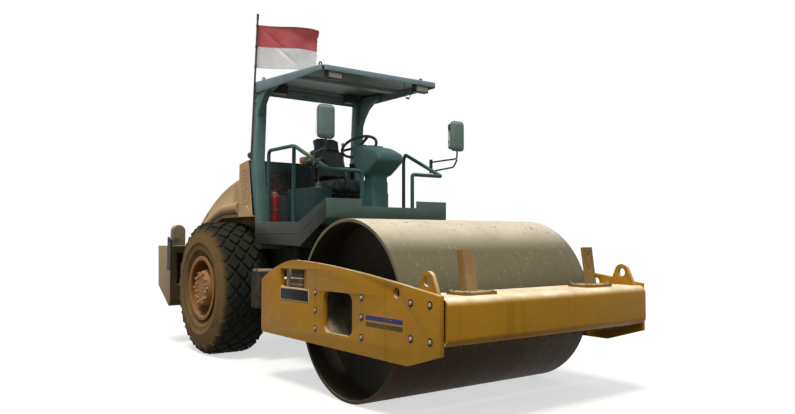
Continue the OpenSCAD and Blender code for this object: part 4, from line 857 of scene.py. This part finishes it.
# Seat
# A sprung seat: foam cushions under black vinyl with sewn channels and a narrower headrest, moulded armrest
# pads, and a rubber bellows round the pedestal.
HEAD_SEAM, HEAD_SOFT, HEAD_TAPER, HEAD_ROUND = 2.325, 0.012, 0.3, 0.045
PRESSURE, FRAMES, PAD_ROOM = 4, 20, 0.008
FOOT_SLICE = 1.495
FOLDS, FOLD_PITCH, FOLD_HIGH, FOLD_LOW, FOLD_OUT = 6, 0.045, 0.048, 1.50, 0.012
eased("seat_frame", 0.004, black_enamel)
vinyl, tree, skin = surface("vinyl", specular=0.3)
place = where(tree)[0]
hide = noise(place, 420.0, 3.0)
soil = use(tree, dust, Lying=0.06, Film=0.03, Mud=0.0)["Dust"]
tint(soil, scaled((0.007, 0.0150, 0.0185), hide * 0.5 + 0.8), DUST).to(skin["Base Color"])
spread(ramp(noise(place, 5.0, 5.0), 0.35, 0.7), 0.38, 0.6).to(skin["Roughness"])
bumped(skin, hide, 0.35, 0.0010)


def stuffed(node, shrink, cap, seams, head=None):
    """A cushion blown up from its solid, then drawn in along its seams: (axis, place, depth, width)."""
    piece = modify(copied(node, node + "_pad"), "REMESH", mode="VOXEL", voxel_size=0.007)
    low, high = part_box(node)
    middle = (low + high) / 2
    shrunk = Matrix.Diagonal((*shrink, 1))
    piece.data.transform(Matrix.Translation(middle) @ shrunk @ Matrix.Translation(-middle))
    begun = points_of(piece.data)
    blown = piece.modifiers.new("blown", "CLOTH")
    blown.settings.use_pressure, blown.settings.uniform_pressure_force = True, PRESSURE
    blown.settings.effector_weights.gravity = 0
    for number in range(1, FRAMES + 1):
        bpy.context.scene.frame_set(number)
    move = points_of(piece.evaluated_get(bpy.context.evaluated_depsgraph_get()).data) - begun
    piece.modifiers.remove(blown)
    bpy.context.scene.frame_set(1)
    far = np.maximum(np.linalg.norm(move, axis=1, keepdims=True), 1e-9)
    piece.data.vertices.foreach_set("co", (begun + move * np.minimum(1, cap / far)).ravel())
    modify(piece, "SMOOTH", factor=0.5, iterations=14)
    modify(piece, "SUBSURF", levels=1, render_levels=1)
    points = points_of(piece.data)
    normals = np.array([v.normal for v in piece.data.vertices])
    for axis, spot, deep, wide in seams:
        points -= normals * (deep * np.exp(-((points[:, axis] - spot) / wide) ** 2))[:, None]
    if head:
        rise = np.clip((points[:, 2] - head + HEAD_SOFT) / (2 * HEAD_SOFT), 0, 1)
        points[:, 1] *= 1 - HEAD_TAPER * rise * rise * (3 - 2 * rise)
        crown = np.clip((points[:, 2] - head) / (high.z - head), 0, 1)
        wide = np.abs(points[crown > 0.5, 1]).max()
        points[:, 2] -= HEAD_ROUND * crown * (np.abs(points[:, 1]) / wide) ** 4
    points = np.clip(points, np.array(low) - PAD_ROOM, np.array(high) + PAD_ROOM)
    piece.data.vertices.foreach_set("co", points.ravel())
    bpy.ops.object.shade_smooth()
    settle(piece, vinyl)
    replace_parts(piece, node)


stuffed("seat_cushion", (0.96, 0.96, 0.86), 0.022, [(1, y, 0.006, 0.005) for y in (-0.135, 0.135)])
stuffed("seat_back", (0.86, 0.95, 0.95), 0.022,
        [(1, -0.13, 0.009, 0.006), (1, 0.13, 0.009, 0.006), (2, HEAD_SEAM, 0.020, 0.010),
         (2, 2.14, 0.007, 0.006)], HEAD_SEAM)
pads = both_sides(bar("armrest_pads", (-0.412, -0.321, 2.152), (-0.080, -0.249, 2.198), 0.016, 4))
settle(pads, vinyl)
foot = [v.co for v in frame["nodes"]["seat_frame"].data.vertices if v.co.z < FOOT_SLICE]
rear, front = min(c.x for c in foot) - FOLD_OUT, max(c.x for c in foot) + FOLD_OUT
side = max(c.y for c in foot) + FOLD_OUT
folds = [bar("fold", (rear, -side, FOLD_LOW + FOLD_PITCH * i),
             (front, side, FOLD_LOW + FOLD_HIGH + FOLD_PITCH * i), 0.021, 4) for i in range(FOLDS)]
settle(joined(folds, "pedestal_bellows"), rubber_seal)

# Console and levers
# A moulded pod on a stem, with three blank dials on its top in black bezels, a moulded rim on the steering
# wheel with a knob on it, and a control lever in a rubber boot on the side console.
DIALS, DIAL_UP, DIAL_PITCH = Vector((0.405, 0.0, 2.2942)), Vector((0.195, 0.0, 0.981)), 0.10
KNOB_TURN = math.radians(260)
RIM_MIDDLE, RIM_R = Vector((0.173, 0, 2.31)), 0.185
KNOB_OFF = Vector((-0.016, 0, 0.0277))
LEVER_X, LEVER_Y, BOOT_FOOT, BOOT_PITCH = 0.05, -0.43, 1.859, 0.018
POD_FOOT, POD_SOFT = 1.90, 0.08
dark_pod = moulded("dark_pod", (0.029, 0.084, 0.084, 1), lying=0.03, film=0.03)
pod = modify(copied("console", "console_moulding"), "REMESH", mode="VOXEL", voxel_size=0.010)
upper = pod.vertex_groups.new(name="upper")
for v in pod.data.vertices:
    upper.add([v.index], min(1, max(0, (v.co.z - POD_FOOT) / POD_SOFT)), "REPLACE")
modify(pod, "SMOOTH", factor=0.5, iterations=70, vertex_group="upper")
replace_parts(settle(close(pod, 50), dark_pod), "console")
eased("steering_wheel", 0.0, black_plastic, limit=40)
tilted = Vector((0.866 * RIM_R * math.cos(KNOB_TURN), RIM_R * math.sin(KNOB_TURN),
                 RIM_R / 2 * math.cos(KNOB_TURN)))
knob = start("uv_sphere", "wheel_knob", RIM_MIDDLE + tilted + KNOB_OFF, (1, 1, 1.25), segments=20,
             ring_count=12, radius=0.017)
lime_knob = moulded("lime_knob", (0.30, 0.34, 0.05, 1), lying=0.2, film=0.1)
settle(close(knob, 60), lime_knob, "steering_wheel")
bezel = start("cylinder", "bezel", vertices=32, radius=0.036, depth=0.016)
ease(0.003, 2)
pick(bezel, "polygons", lambda flat: flat.normal.z > 0.99)
bpy.ops.mesh.inset(thickness=0.005, depth=-0.005)
bezel = taken(close(bezel))
dial = taken(rounder("dial", 0.0275, 0.004, 0.001, vertices=32, place=(0, 0, 0.004)))
spots = [facing(DIALS + Vector((0, y, 0)), DIAL_UP) for y in (-DIAL_PITCH, 0.0, DIAL_PITCH)]
dial_face = moulded("dial_face", (0.34, 0.33, 0.28, 1), lying=0.25, film=0.2, gloss=0.2)
settle(copies("dial_bezels", bezel, spots), black_plastic)
settle(copies("dial_faces", dial, spots), dial_face)

boot = start("cone", "lever_boot", (LEVER_X, LEVER_Y, BOOT_FOOT + 0.036), vertices=24, radius1=0.046,
             radius2=0.012, depth=0.072)
bpy.ops.mesh.subdivide(number_cuts=5)
close(boot)
for v in boot.data.vertices:
    ripple = 1 + 0.13 * math.cos((v.co.z - BOOT_FOOT) * 2 * math.pi / BOOT_PITCH)
    v.co.x, v.co.y = LEVER_X + (v.co.x - LEVER_X) * ripple, LEVER_Y + (v.co.y - LEVER_Y) * ripple
settle(boot, black_plastic)
stick = rounder("lever_stick", 0.008, 0.17, 0.002, vertices=16, place=(LEVER_X, LEVER_Y, 1.99))
settle(stick, black_enamel)
grip = start("uv_sphere", "lever_grip", (LEVER_X, LEVER_Y, 2.085), (1, 1, 1.35), segments=20, ring_count=12,
             radius=0.023)
settle(close(grip, 60), black_plastic)

# Fire extinguisher
# A drawn steel bottle in red enamel with a brass collar under its valve. A steel band round the bottle holds it
# to the platform's edge.
BOTTLE = Vector((-0.597, -0.600, 0))
COLLAR_Z, BAND_Z = Vector((0, 0, 1.832)), Vector((0, 0, 1.63))
red_enamel = painted("red_enamel", (0.15, 0.010, 0.016, 1), lying=0.15, film=0.03, mud=0.0, drift=0.2,
                     wear=0.3, gloss=0.28)
eased("fire_extinguisher", 0.006, red_enamel, segments=3)
brass = dulled_metal("brass", (60.0, 5.0), (0.35, 0.7), (0.42, 0.29, 0.10, 1), (0.16, 0.11, 0.05, 1),
                     (0.25, 0.6))
collar = rounder("valve_collar", 0.027, 0.022, 0.004, 2, 24, BOTTLE + COLLAR_Z)
settle(collar, brass)
band = rounder("bottle_band", 0.0665, 0.03, 0.0012, 1, 48, BOTTLE + BAND_Z)
settle(band, black_enamel)

# Flag and pole
# A wooden pole lashed to the wall, its tip bound with tape, and a light cloth flag sewn from a red and a
# white half, tied at the hoist. The cloth flies in waves, creased from its upper tie, with its upper corner
# leaning and a frayed fly.
POLE_FOOT, POLE_TIP = Vector((-0.902, -0.7413, 2.214)), Vector((-0.759, -0.7413, 3.83))
POLE_R = 0.011
HOIST, FLY, TOP_GAP = 0.48, 0.70, 0.11
TURN = math.radians(76)
BLOWN, DIP = 0.06, 0.04
RED, PALE_RED = (0.52, 0.075, 0.088, 1), (0.60, 0.160, 0.165, 1)
CLEAN_WHITE, GREY_WHITE = (0.86, 0.84, 0.86, 1), (0.74, 0.69, 0.70, 1)
WEAVE = 0.0016
up = (POLE_TIP - POLE_FOOT).normalized()
side = Vector((up.z, 0, -up.x))
out = math.cos(TURN) * side + math.sin(TURN) * Vector((0, 1, 0))
off = -math.sin(TURN) * side + math.cos(TURN) * Vector((0, 1, 0))
flag_low = POLE_TIP - up * (TOP_GAP + HOIST)

old_wood = painted("old_wood", (0.075, 0.058, 0.066, 1), lying=0.1, film=0.3, mud=0.0, drift=0.5, wear=0.0,
                   gloss=0.75)
eased("flag_pole", 0.0, old_wood)


def cloth_point(across, high):
    """A point on the flying cloth, from shares of the fly and the hoist."""
    fray = 0.010 * abs(math.sin(17 * high) + 0.6 * math.sin(41 * high)) * max(0, across - 0.93) / 0.07
    wave = 0.026 * across * math.sin(math.radians(500) * across)
    ripple = 0.004 * across * math.sin(22 * across + 5 * high) + 0.003 * across * math.sin(9 * high)
    drop = 1 - high
    crease = 0.006 * math.exp(-(drop - 1.2 * across) ** 2 / 0.0015) * min(1, 4 * across) \
        * max(0, 1 - (across / 0.5) ** 4)
    pull = 0.007 * math.exp(-(drop - 0.1 - 1.2 * across) ** 2 / 0.002) \
        * math.exp(-(across - 0.45) ** 2 / 0.02)
    above = across / 3 + high - 1.05
    lean = 0.10 * across * (above + math.sqrt(above ** 2 + 0.0004))
    lift = BLOWN * across ** 1.3 - DIP * across ** 8
    return flag_low + up * (HOIST * high + lift) + out * (POLE_R + 0.0003 + FLY * (across - fray)) \
        + off * (wave + ripple + crease + pull - lean)


flag = start("grid", "flag_sheet", x_subdivisions=90, y_subdivisions=60, size=1)
close(flag)
for v in flag.data.vertices:
    v.co = cloth_point(v.co.x + 0.5, v.co.y + 0.5)
bpy.ops.object.shade_smooth()
arc = [cloth_point(i / 200, 0.4) for i in range(201)]
arc = sum((b - a).length for a, b in zip(arc, arc[1:]))
cloth, tree, skin = surface("flag_cloth", roughness=0.8, specular=0.2)
skin["Sheen Weight"].default_value = 0.3
place = where(tree)[0]
reach = dot(place, tuple(out)) - flag_low.dot(out)
share = ((reach - POLE_R) * (1 / FLY)).most(0.0)
lift = share.calc("POWER", 1.3) * BLOWN - share.calc("POWER", 8.0) * DIP
rise = dot(place, tuple(up)) - flag_low.dot(up) - lift
faded = ramp(noise(place, 6.0, 5.0), 0.3, 0.8)
upper = ramp(rise, HOIST * 0.5 - 0.002, HOIST * 0.5 + 0.002)
colour = tint(upper, tint(faded, CLEAN_WHITE, GREY_WHITE), tint(faded, RED, PALE_RED))
seam = 1 - ramp(abs(rise - HOIST * 0.5), 0.002, 0.006)
hem = ramp(rise, 0.014, 0.012).most(ramp(rise, HOIST - 0.026, HOIST - 0.024)).most(ramp(reach, 0.045, 0.043))
sewn = seam.most(hem * 0.5)
thread = tint(upper, (0.42, 0.39, 0.40, 1), (0.25, 0.02, 0.025, 1))
tint(sewn * 0.6, colour, thread).to(skin["Base Color"])
bumped(skin, rise.wave(WEAVE) * reach.wave(WEAVE) + sewn, 0.3, 0.0008)
settle(flag, cloth)
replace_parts(flag, "flag")

tape = moulded("tape", (0.020, 0.018, 0.020, 1), lying=0.1, film=0.3, gloss=0.6)
bands = [(POLE_TIP - up * 0.025, 0.05, POLE_R + 0.002)]
bands += [(flag_low + up * HOIST * high, 0.028, POLE_R + 0.0035) for high in (0.97, 0.5, 0.03)]
bands = [facing(spot, up) @ Matrix.Diagonal((wide, wide, tall, 1)) for spot, tall, wide in bands]
settle(copies("flag_ties", taken(rounder("binding", 1, 1, 0.06, 2)), bands), tape)

# Steering cylinders
# Two hydraulic cylinders between the rear frame and the hinge block: black barrels, and hard-chromed rods
# with fine scratches and a smear of grease.
rod_chrome, tree, skin = surface("rod_chrome", metallic=1.0)
place = where(tree)[0]
scratch = ramp(noise(place, 300.0, 3.0, (0.06, 1.0, 1.0)), 0.45, 0.7)
grease = ramp(noise(place, 25.0, 6.0), 0.5, 0.7)
tint(grease, (0.58, 0.58, 0.57, 1), (0.12, 0.10, 0.07, 1)).to(skin["Base Color"])
(scratch * 0.15 + grease * 0.3 + 0.1).to(skin["Roughness"])
for side in ("right", "left"):
    eased("steer_barrel_" + side, 0.003, black_enamel)
    eased("steer_rod_" + side, 0.002, rod_chrome)

# Front frame
# Flame-cut side plates bolted to two box beams, in ochre enamel that is chipped along its edges. Each plate
# has a painted pair of bars and a blank black plate with a white edge; the lugs and posts on the beam are
# welded on.
OCHRE = (0.335, 0.158, 0.008, 1)
PLATE_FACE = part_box("side_plate_left")[1].y
BARS = ((0.735, (0.014, 0.022, 0.115, 1)), (0.685, (0.045, 0.036, 0.012, 1)))
BARS_RUN, BAR_HALF = (1.98, 2.44), 0.018
BLANK_LOW, BLANK_HIGH, BLANK_EDGE = Vector((0.609, 0.781)), Vector((1.119, 0.892)), 0.007
PRINT_SOFT = 0.0008


def within(value, low, high):
    """1 between two limits."""
    return ramp(value, low - PRINT_SOFT, low + PRINT_SOFT) * ramp(value, high + PRINT_SOFT, high - PRINT_SOFT)


def plate_bars(tree, colour):
    """Two plain bars stencilled along the plate's outer face."""
    place, along = where(tree)
    outer = ramp(abs(along[1]), PLATE_FACE - 0.002, PLATE_FACE - 0.001) * within(along[0], *BARS_RUN)
    worn = outer * ramp(noise(place, 55.0, 6.0), 0.68, 0.60)
    for z, paint in BARS:
        colour = tint(worn * within(along[2], z - BAR_HALF, z + BAR_HALF), colour, paint)
    return colour


chipped = {"film": 0.02, "drift": 0.14, "gloss": 0.45}
# The beams' tops take heavier and paler dust, which also stands as painted sunlight there.
ochre_enamel = painted("ochre_enamel", OCHRE, lying=1.1, wear=0.8, dry=(0.84, 0.73, 0.52, 1), **chipped)
plate_enamel = painted("plate_enamel", OCHRE, lying=0.8, wear=0.9, over=plate_bars, **chipped)
for node in ("side_plate_right", "side_plate_left"):
    eased(node, 0.005, plate_enamel)
for node in ("front_beam", "rear_beam", "beam_lugs"):
    eased(node, 0.004, ochre_enamel)
stained_enamel = painted("stained_enamel", (0.19, 0.105, 0.024, 1), lying=0.7, film=0.1, mud=0.2, drift=0.5,
                         wear=0.9)
eased("beam_posts", 0.003, stained_enamel)

blank, tree, skin = surface("blank_plate", roughness=0.5, specular=0.1)
place, along = where(tree)
inner = within(along[0], BLANK_LOW.x + BLANK_EDGE, BLANK_HIGH.x - BLANK_EDGE) \
    * within(along[2], BLANK_LOW.y + BLANK_EDGE, BLANK_HIGH.y - BLANK_EDGE)
colour = tint(inner, (0.46, 0.43, 0.37, 1), (0.006, 0.004, 0.004, 1))
soil = use(tree, dust, Lying=0.3, Film=0.0, Mud=0.0)["Dust"]
tint(soil, colour, DUST).to(skin["Base Color"])
bumped(skin, noise(place, 240.0, 2.0), 0.15, 0.0005)
sign = bar("blank_plates", (BLANK_LOW.x, -PLATE_FACE - 0.003, BLANK_LOW.y),
           (BLANK_HIGH.x, -PLATE_FACE + 0.001, BLANK_HIGH.y), 0.001)
settle(both_sides(sign), blank, "front_frame")

# Frame bolts
# Zinc-plated hexagon bolts on hardened washers through the plates into the carriers and the beam, and through
# the posts' feet. Each stands in a ring of oil and dirt.
PLATE_BOLTS = [(1.573 + s * 0.345, z) for s in (-1, 1) for z in (0.88, 0.73, 0.575)] \
    + [(x, z) for x in (2.531, 2.742) for z in (0.883, 0.633)]
FOOT_BOLTS, FOOT_TOP = [(x, y) for x in (2.558, 2.728) for y in (0.555, 0.805)], 0.952
heads = []
for out in (-1, 1):
    heads += [facing((x, out * PLATE_FACE, z), (0, out, 0), 7.0 * x + z) for x, z in PLATE_BOLTS]
    heads += [facing((x, out * y, FOOT_TOP), (0, 0, 1), 9.0 * x + y) for x, y in FOOT_BOLTS]
zinc = painted("zinc", (0.38, 0.33, 0.27, 1), lying=0.3, film=0.1, mud=0.2, drift=0.4, wear=0.3, gloss=0.4)
settle(copies("frame_bolts", bolt_mesh(0.0145, 0.010, 1.15), heads), zinc, "front_frame")
oily = painted("oily", (0.020, 0.010, 0.012, 1), lying=0.1, film=0.02, mud=0.1, drift=0.3, wear=0.0,
               gloss=0.5)
stain = taken(rounder("stain", 0.029, 0.0012, 0.0004))
settle(copies("bolt_rings", stain, heads), oily, "front_frame")

# Buffers in the upper windows
# A stack of rounded rubber buffers, dull with dust, between a flat bar and an ochre post, seen through each
# plate's upper window.
ROLLS, ROLL_PITCH, ROLL_LOW, ROLL_HIGH = 4, 0.046, 0.888, 0.929
slat = bar("window_bars", (0.640, -1.116, 0.885), (0.662, -1.076, 1.075), 0.003)
settle(both_sides(slat), zinc, "front_frame")
dusty_rubber = moulded("dusty_rubber", (0.050, 0.043, 0.026, 1), lying=0.5, film=0.35, gloss=0.8)
rolls = [bar("roll", (0.712, -1.116, ROLL_LOW + ROLL_PITCH * i),
             (0.922, -1.074, ROLL_HIGH + ROLL_PITCH * i), 0.017, 5) for i in range(ROLLS)]
settle(both_sides(joined(rolls, "window_buffers")), dusty_rubber, "front_frame")
post = bar("window_posts", (0.955, -1.117, 0.885), (1.015, -1.074, 1.075), 0.004)
settle(both_sides(post), ochre_enamel, "front_frame")

# Drum and scrapers
# A rolled and welded steel shell, dull with dried earth, scored round and round by stones; it is paler on
# top with dust and painted sunlight, and darker towards the bottom with mud and painted shade; its heads are
# painted dark inside the rim as shade, and its hub runs with a little room on the carriers' stub shafts. The
# scrapers are rusty steel strips.
drum_low, drum_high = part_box("drum")
DRUM_AXLE, DRUM_R = (drum_low + drum_high) / 2, (drum_high.z - drum_low.z) / 2
HEADS_IN = (1.0636, 1.0620)
STUB_R, STUB_ROOM = 0.070, 0.001
CLIPS, CLIP_PITCH, CLIP_HALF, FIRST_CLIP = 15, 0.135, 0.016, -0.945


def from_axle(along, axle):
    """Distance from an axle that lies along y."""
    x, z = along[0] - axle.x, along[2] - axle.z
    return (x * x + z * z).calc("SQRT")


drum_steel, tree, skin = surface("drum_steel", specular=0.12)
place, along = where(tree)
up_face = normal(tree)[2]
scored = noise(place, 1.0, 6.0, (0.7, 160.0, 0.7))
cake = noise(place, 3.5, 8.0)
speckle = ramp(noise(place, 38.0, 8.0, (0.6, 1.0, 0.6)), 0.60, 0.70)
colour = tint(ramp(scored, 0.3, 0.7), (0.116, 0.101, 0.057, 1), (0.130, 0.114, 0.067, 1))
colour = tint(speckle * 0.55, colour, (0.34, 0.30, 0.20, 1))
colour = tint(ramp(cake, 0.5, 0.75) * 0.4, colour, (0.16, 0.135, 0.08, 1))
# Darker towards the bottom: mud, and painted shade under the drum.
mud_and_low_shade = (ramp(along[2], 0.85, 0.25) * (cake * 0.4 + 0.75)).clamped()
colour = tint(mud_and_low_shade * 0.9, colour, (0.030, 0.011, 0.004, 1))
# Paler on what faces up: dust, and painted sunlight on the drum's top.
colour = tint(ramp(up_face, 0.62, 0.95) * (cake * 0.55 + 0.55), colour, (0.66, 0.58, 0.45, 1))
spots = ramp(noise(place, 20.0, 4.0), 0.64, 0.67) * ramp(up_face, 0.7, 0.9)
colour = tint(spots * 0.85, colour, (0.045, 0.032, 0.020, 1))
# Painted shade: the heads are dark inside the rim.
inside = ramp(from_axle(along, DRUM_AXLE), DRUM_R - 0.008, DRUM_R - 0.012) * ramp(abs(along[1]), *HEADS_IN)
tint(inside, colour, (0.020, 0.017, 0.010, 1)).to(skin["Base Color"])
spread(scored, 0.72, 0.48, 0.3, 0.7).to(skin["Roughness"])
bumped(skin, scored * 0.1 + cake, 0.25, 0.002)
eased("drum", 0.004, drum_steel)
for v in bpy.data.objects["drum_carriers_plate"].data.vertices:
    out_from = Vector((v.co.x - DRUM_AXLE.x, 0, v.co.z - DRUM_AXLE.z))
    if out_from.length < STUB_R + 0.0005:
        v.co -= out_from.normalized() * STUB_ROOM

rusted = painted("rusted", (0.085, 0.048, 0.026, 1), lying=0.3, film=0.2, mud=0.5, drift=0.5, wear=0.7,
                 gloss=0.75)
eased("scrapers", 0.003, rusted)
clips = []
for i in range(CLIPS):
    y = FIRST_CLIP + CLIP_PITCH * i
    clips.append(bar("clip", (2.780, y - CLIP_HALF, 0.580), (2.818, y + CLIP_HALF, 0.6045), 0.004))
settle(joined(clips, "scraper_clips"), rusted, "front_frame")

# Rims
# Pressed and welded steel wheels in brown-stained ochre: a deep dish with a pale hub plate, held by two
# staggered rings of nuts on studs, with a lock ring round the outer flange.
NUT_RINGS = ((0.172, 0.0), (0.140, 0.5))
NUTS, NUT_R, NUT_HIGH = 10, 0.0145, 0.022
HUB_R = 0.205
rim_low, rim_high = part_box("rim_right")
WHEEL_AXLE, FLANGE_R = (rim_low + rim_high) / 2, (rim_high.z - rim_low.z) / 2
FLANGE_FACE, HUB_FACE = rim_low.y, rim_low.y + 0.005
RING_LINE = ((0.0, 0.03), (0.0, 0.012), (0.008, 0.004), (0.022, 0.004), (0.028, 0.012), (0.028, 0.03))
RING_IN = 0.052


def pale_hub(tree, colour):
    """Dry earth on the hub plate."""
    hub = ramp(from_axle(where(tree)[1], WHEEL_AXLE), HUB_R + 0.012, HUB_R)
    return tint(hub * 0.8, colour, (0.27, 0.128, 0.034, 1))


def turned(name, outline, steps=96):
    """A ring turned about the wheel's axle from (radius, across) points."""
    mesh = bpy.data.meshes.new(name)
    count = len(outline)
    mesh.from_pydata([(r, y, 0) for r, y in outline], [(i, (i + 1) % count) for i in range(count)], [])
    piece = opened(placed(name, mesh))
    bpy.ops.mesh.spin(steps=steps, angle=2 * math.pi, center=(0, 0, 0), axis=(0, 1, 0))
    bpy.ops.mesh.select_all(action="SELECT")
    bpy.ops.mesh.remove_doubles(threshold=0.0001)
    bpy.ops.mesh.normals_make_consistent(inside=False)
    return close(piece)


wheel_enamel = painted("wheel_enamel", (0.225, 0.096, 0.014, 1), lying=0.12, film=0.01, drift=0.4,
                       over=pale_hub)
nut_enamel = painted("nut_enamel", (0.34, 0.205, 0.088, 1), lying=0.2, film=0.1, mud=0.1, drift=0.4, wear=0.4,
                     gloss=0.5)
nut = bolt_mesh(NUT_R, NUT_HIGH)
axle = Vector((WHEEL_AXLE.x, 0, WHEEL_AXLE.z))
for side, out in (("right", -1), ("left", 1)):
    eased("rim_" + side, 0.006, wheel_enamel, segments=3)
    studs = []
    for radius, stagger in NUT_RINGS:
        for i in range(NUTS):
            turn = 2 * math.pi * (i + stagger) / NUTS
            spot = axle + Vector((radius * math.cos(turn), -out * HUB_FACE, radius * math.sin(turn)))
            studs.append(facing(spot, (0, out, 0), turn))
    settle(copies("wheel_nuts_" + side, nut, studs), nut_enamel, "wheel_" + side)
    ring = turned("lock_ring_" + side, [(FLANGE_R - RING_IN + r, -FLANGE_FACE - y) for r, y in RING_LINE])
    ring.data.transform(Matrix.Translation(axle) @ Matrix.Scale(out, 4, (0, 1, 0)))
    if out < 0:
        ring.data.flip_normals()
    settle(ring, wheel_enamel, "wheel_" + side)

# Tyres
# Wide low-pressure tyres of black rubber. Seven staggered rows of diamond blocks are moulded on the crown and
# run out on the shoulders; the sidewalls carry fine rings and a film of tan dust.
tyre_low, tyre_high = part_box("tyre_left")
TYRE_R, TYRE_HALF = (tyre_high.z - tyre_low.z) / 2, (tyre_high.y - tyre_low.y) / 2
TYRE_MIDDLE = (tyre_low.y + tyre_high.y) / 2
BLOCK_H, BLOCK_SHARE, RUN_OUT = 0.028, 0.86, 0.7
BLOCKS, ROWS, ROW_PITCH = 22, 3, 0.085
SHOULDER_R, SHOULDER_END = 0.075, math.radians(82)
CASING_R = TYRE_R - BLOCK_H
CROWN_HALF = TYRE_HALF - SHOULDER_R - BLOCK_H
BEAD_R = FLANGE_R - 0.018
WALL_LINE = ((0.17, -0.012), (0.215, 0.0), (0.235, 0.004), (0.245, -0.003), (0.30, -0.014), (0.315, -0.012),
             (0.325, -0.022))


def on_tread(across, turn, rise):
    """A point on the tread: across the crown and down its shoulder, round the axle, and over the casing."""
    lean = min(SHOULDER_END, max(0, abs(across) - CROWN_HALF) / SHOULDER_R)
    rise *= 1 - RUN_OUT * lean / SHOULDER_END
    beyond = max(0, abs(across) - CROWN_HALF - SHOULDER_R * SHOULDER_END)
    y = min(abs(across), CROWN_HALF) + (SHOULDER_R + rise) * math.sin(lean) + beyond * math.cos(SHOULDER_END)
    r = CASING_R - SHOULDER_R + (SHOULDER_R + rise) * math.cos(lean) - beyond * math.sin(SHOULDER_END)
    return Vector((r * math.cos(turn), math.copysign(y, across), r * math.sin(turn)))


def tread_block():
    """A diamond block of unit half diagonals with cut corners, sloping walls and a chamfered top."""
    piece = start("circle", "tread_block", vertices=4, radius=1, fill_type="NGON")
    bpy.ops.mesh.bevel(offset=0.13, affect="VERTICES")
    bpy.ops.mesh.select_mode(type="FACE")
    bpy.ops.mesh.select_all(action="SELECT")
    bpy.ops.mesh.extrude_region_move(TRANSFORM_OT_translate={"value": (0, 0, 1)})
    bpy.ops.transform.resize(value=(0.86, 0.86, 1), center_override=(0, 0, 1))
    ease(0.06)
    shut()
    return taken(piece)


tyre_rubber, tree, skin = surface("tyre_rubber", roughness=0.85, specular=0.12)
place, along = where(tree)
reach = from_axle(along, WHEEL_AXLE)
blotch = noise(place, 7.0, 7.0)
wall_dust = ramp(reach, TYRE_R - 0.022, TYRE_R - 0.14) * ramp(blotch, 0.08, 0.50)
groove_dust = ramp(reach, TYRE_R - 0.012, TYRE_R - 0.03) * 0.05
soil = use(tree, dust, Lying=0.1, Film=0.03, Mud=0.3)["Dust"] * 0.5
dusty = (wall_dust * 0.95).most(groove_dust.most(soil)).clamped()
rubber = scaled((0.011, 0.013, 0.010), spread(blotch, 0.7, 1.4))
tint(dusty, rubber, (0.150, 0.096, 0.036, 1)).to(skin["Base Color"])
bumped(skin, noise(place, 150.0, 5.0), 0.35, 0.002)

bends = [i / 5 * SHOULDER_END for i in range(6)]
half = [(CASING_R - SHOULDER_R + SHOULDER_R * math.cos(a), CROWN_HALF + SHOULDER_R * math.sin(a))
        for a in bends]
half += [(TYRE_R - down, TYRE_HALF + wide) for down, wide in WALL_LINE]
half += [(BEAD_R + 0.04, TYRE_HALF - 0.05), (BEAD_R, TYRE_HALF - 0.062), (BEAD_R, TYRE_HALF - 0.11),
         (TYRE_R - 0.215, TYRE_HALF - 0.05), (TYRE_R - 0.09, CROWN_HALF)]
casing = half + [(r, -y) for r, y in reversed(half)]
tread_mesh = tread_block()
pitch = 2 * math.pi / BLOCKS
for side, out in (("right", -1), ("left", 1)):
    tyre = turned("tyre_" + side + "_casing", casing)
    points, faces = [], []
    for row in range(-ROWS, ROWS + 1):
        for i in range(BLOCKS):
            turn = -math.pi / 2 + (i + (0.5 if row % 2 else 0)) * pitch
            faces += [tuple(j + len(points) for j in f.vertices) for f in tread_mesh.polygons]
            points += [on_tread(row * ROW_PITCH + v.co.x * ROW_PITCH * BLOCK_SHARE,
                                turn + v.co.y * BLOCK_SHARE * pitch / 2, v.co.z * BLOCK_H)
                       for v in tread_mesh.vertices]
    mesh = bpy.data.meshes.new("tread")
    mesh.from_pydata(points, [], faces)
    tread = opened(placed("tread", mesh))
    bpy.ops.mesh.normals_make_consistent(inside=False)
    shut()
    tyre = joined([tyre, tread], tyre.name)
    tyre.location = (WHEEL_AXLE.x, out * TYRE_MIDDLE, WHEEL_AXLE.z)
    settle(tyre, tyre_rubber, "wheel_" + side)
    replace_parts(tyre, "tyre_" + side)
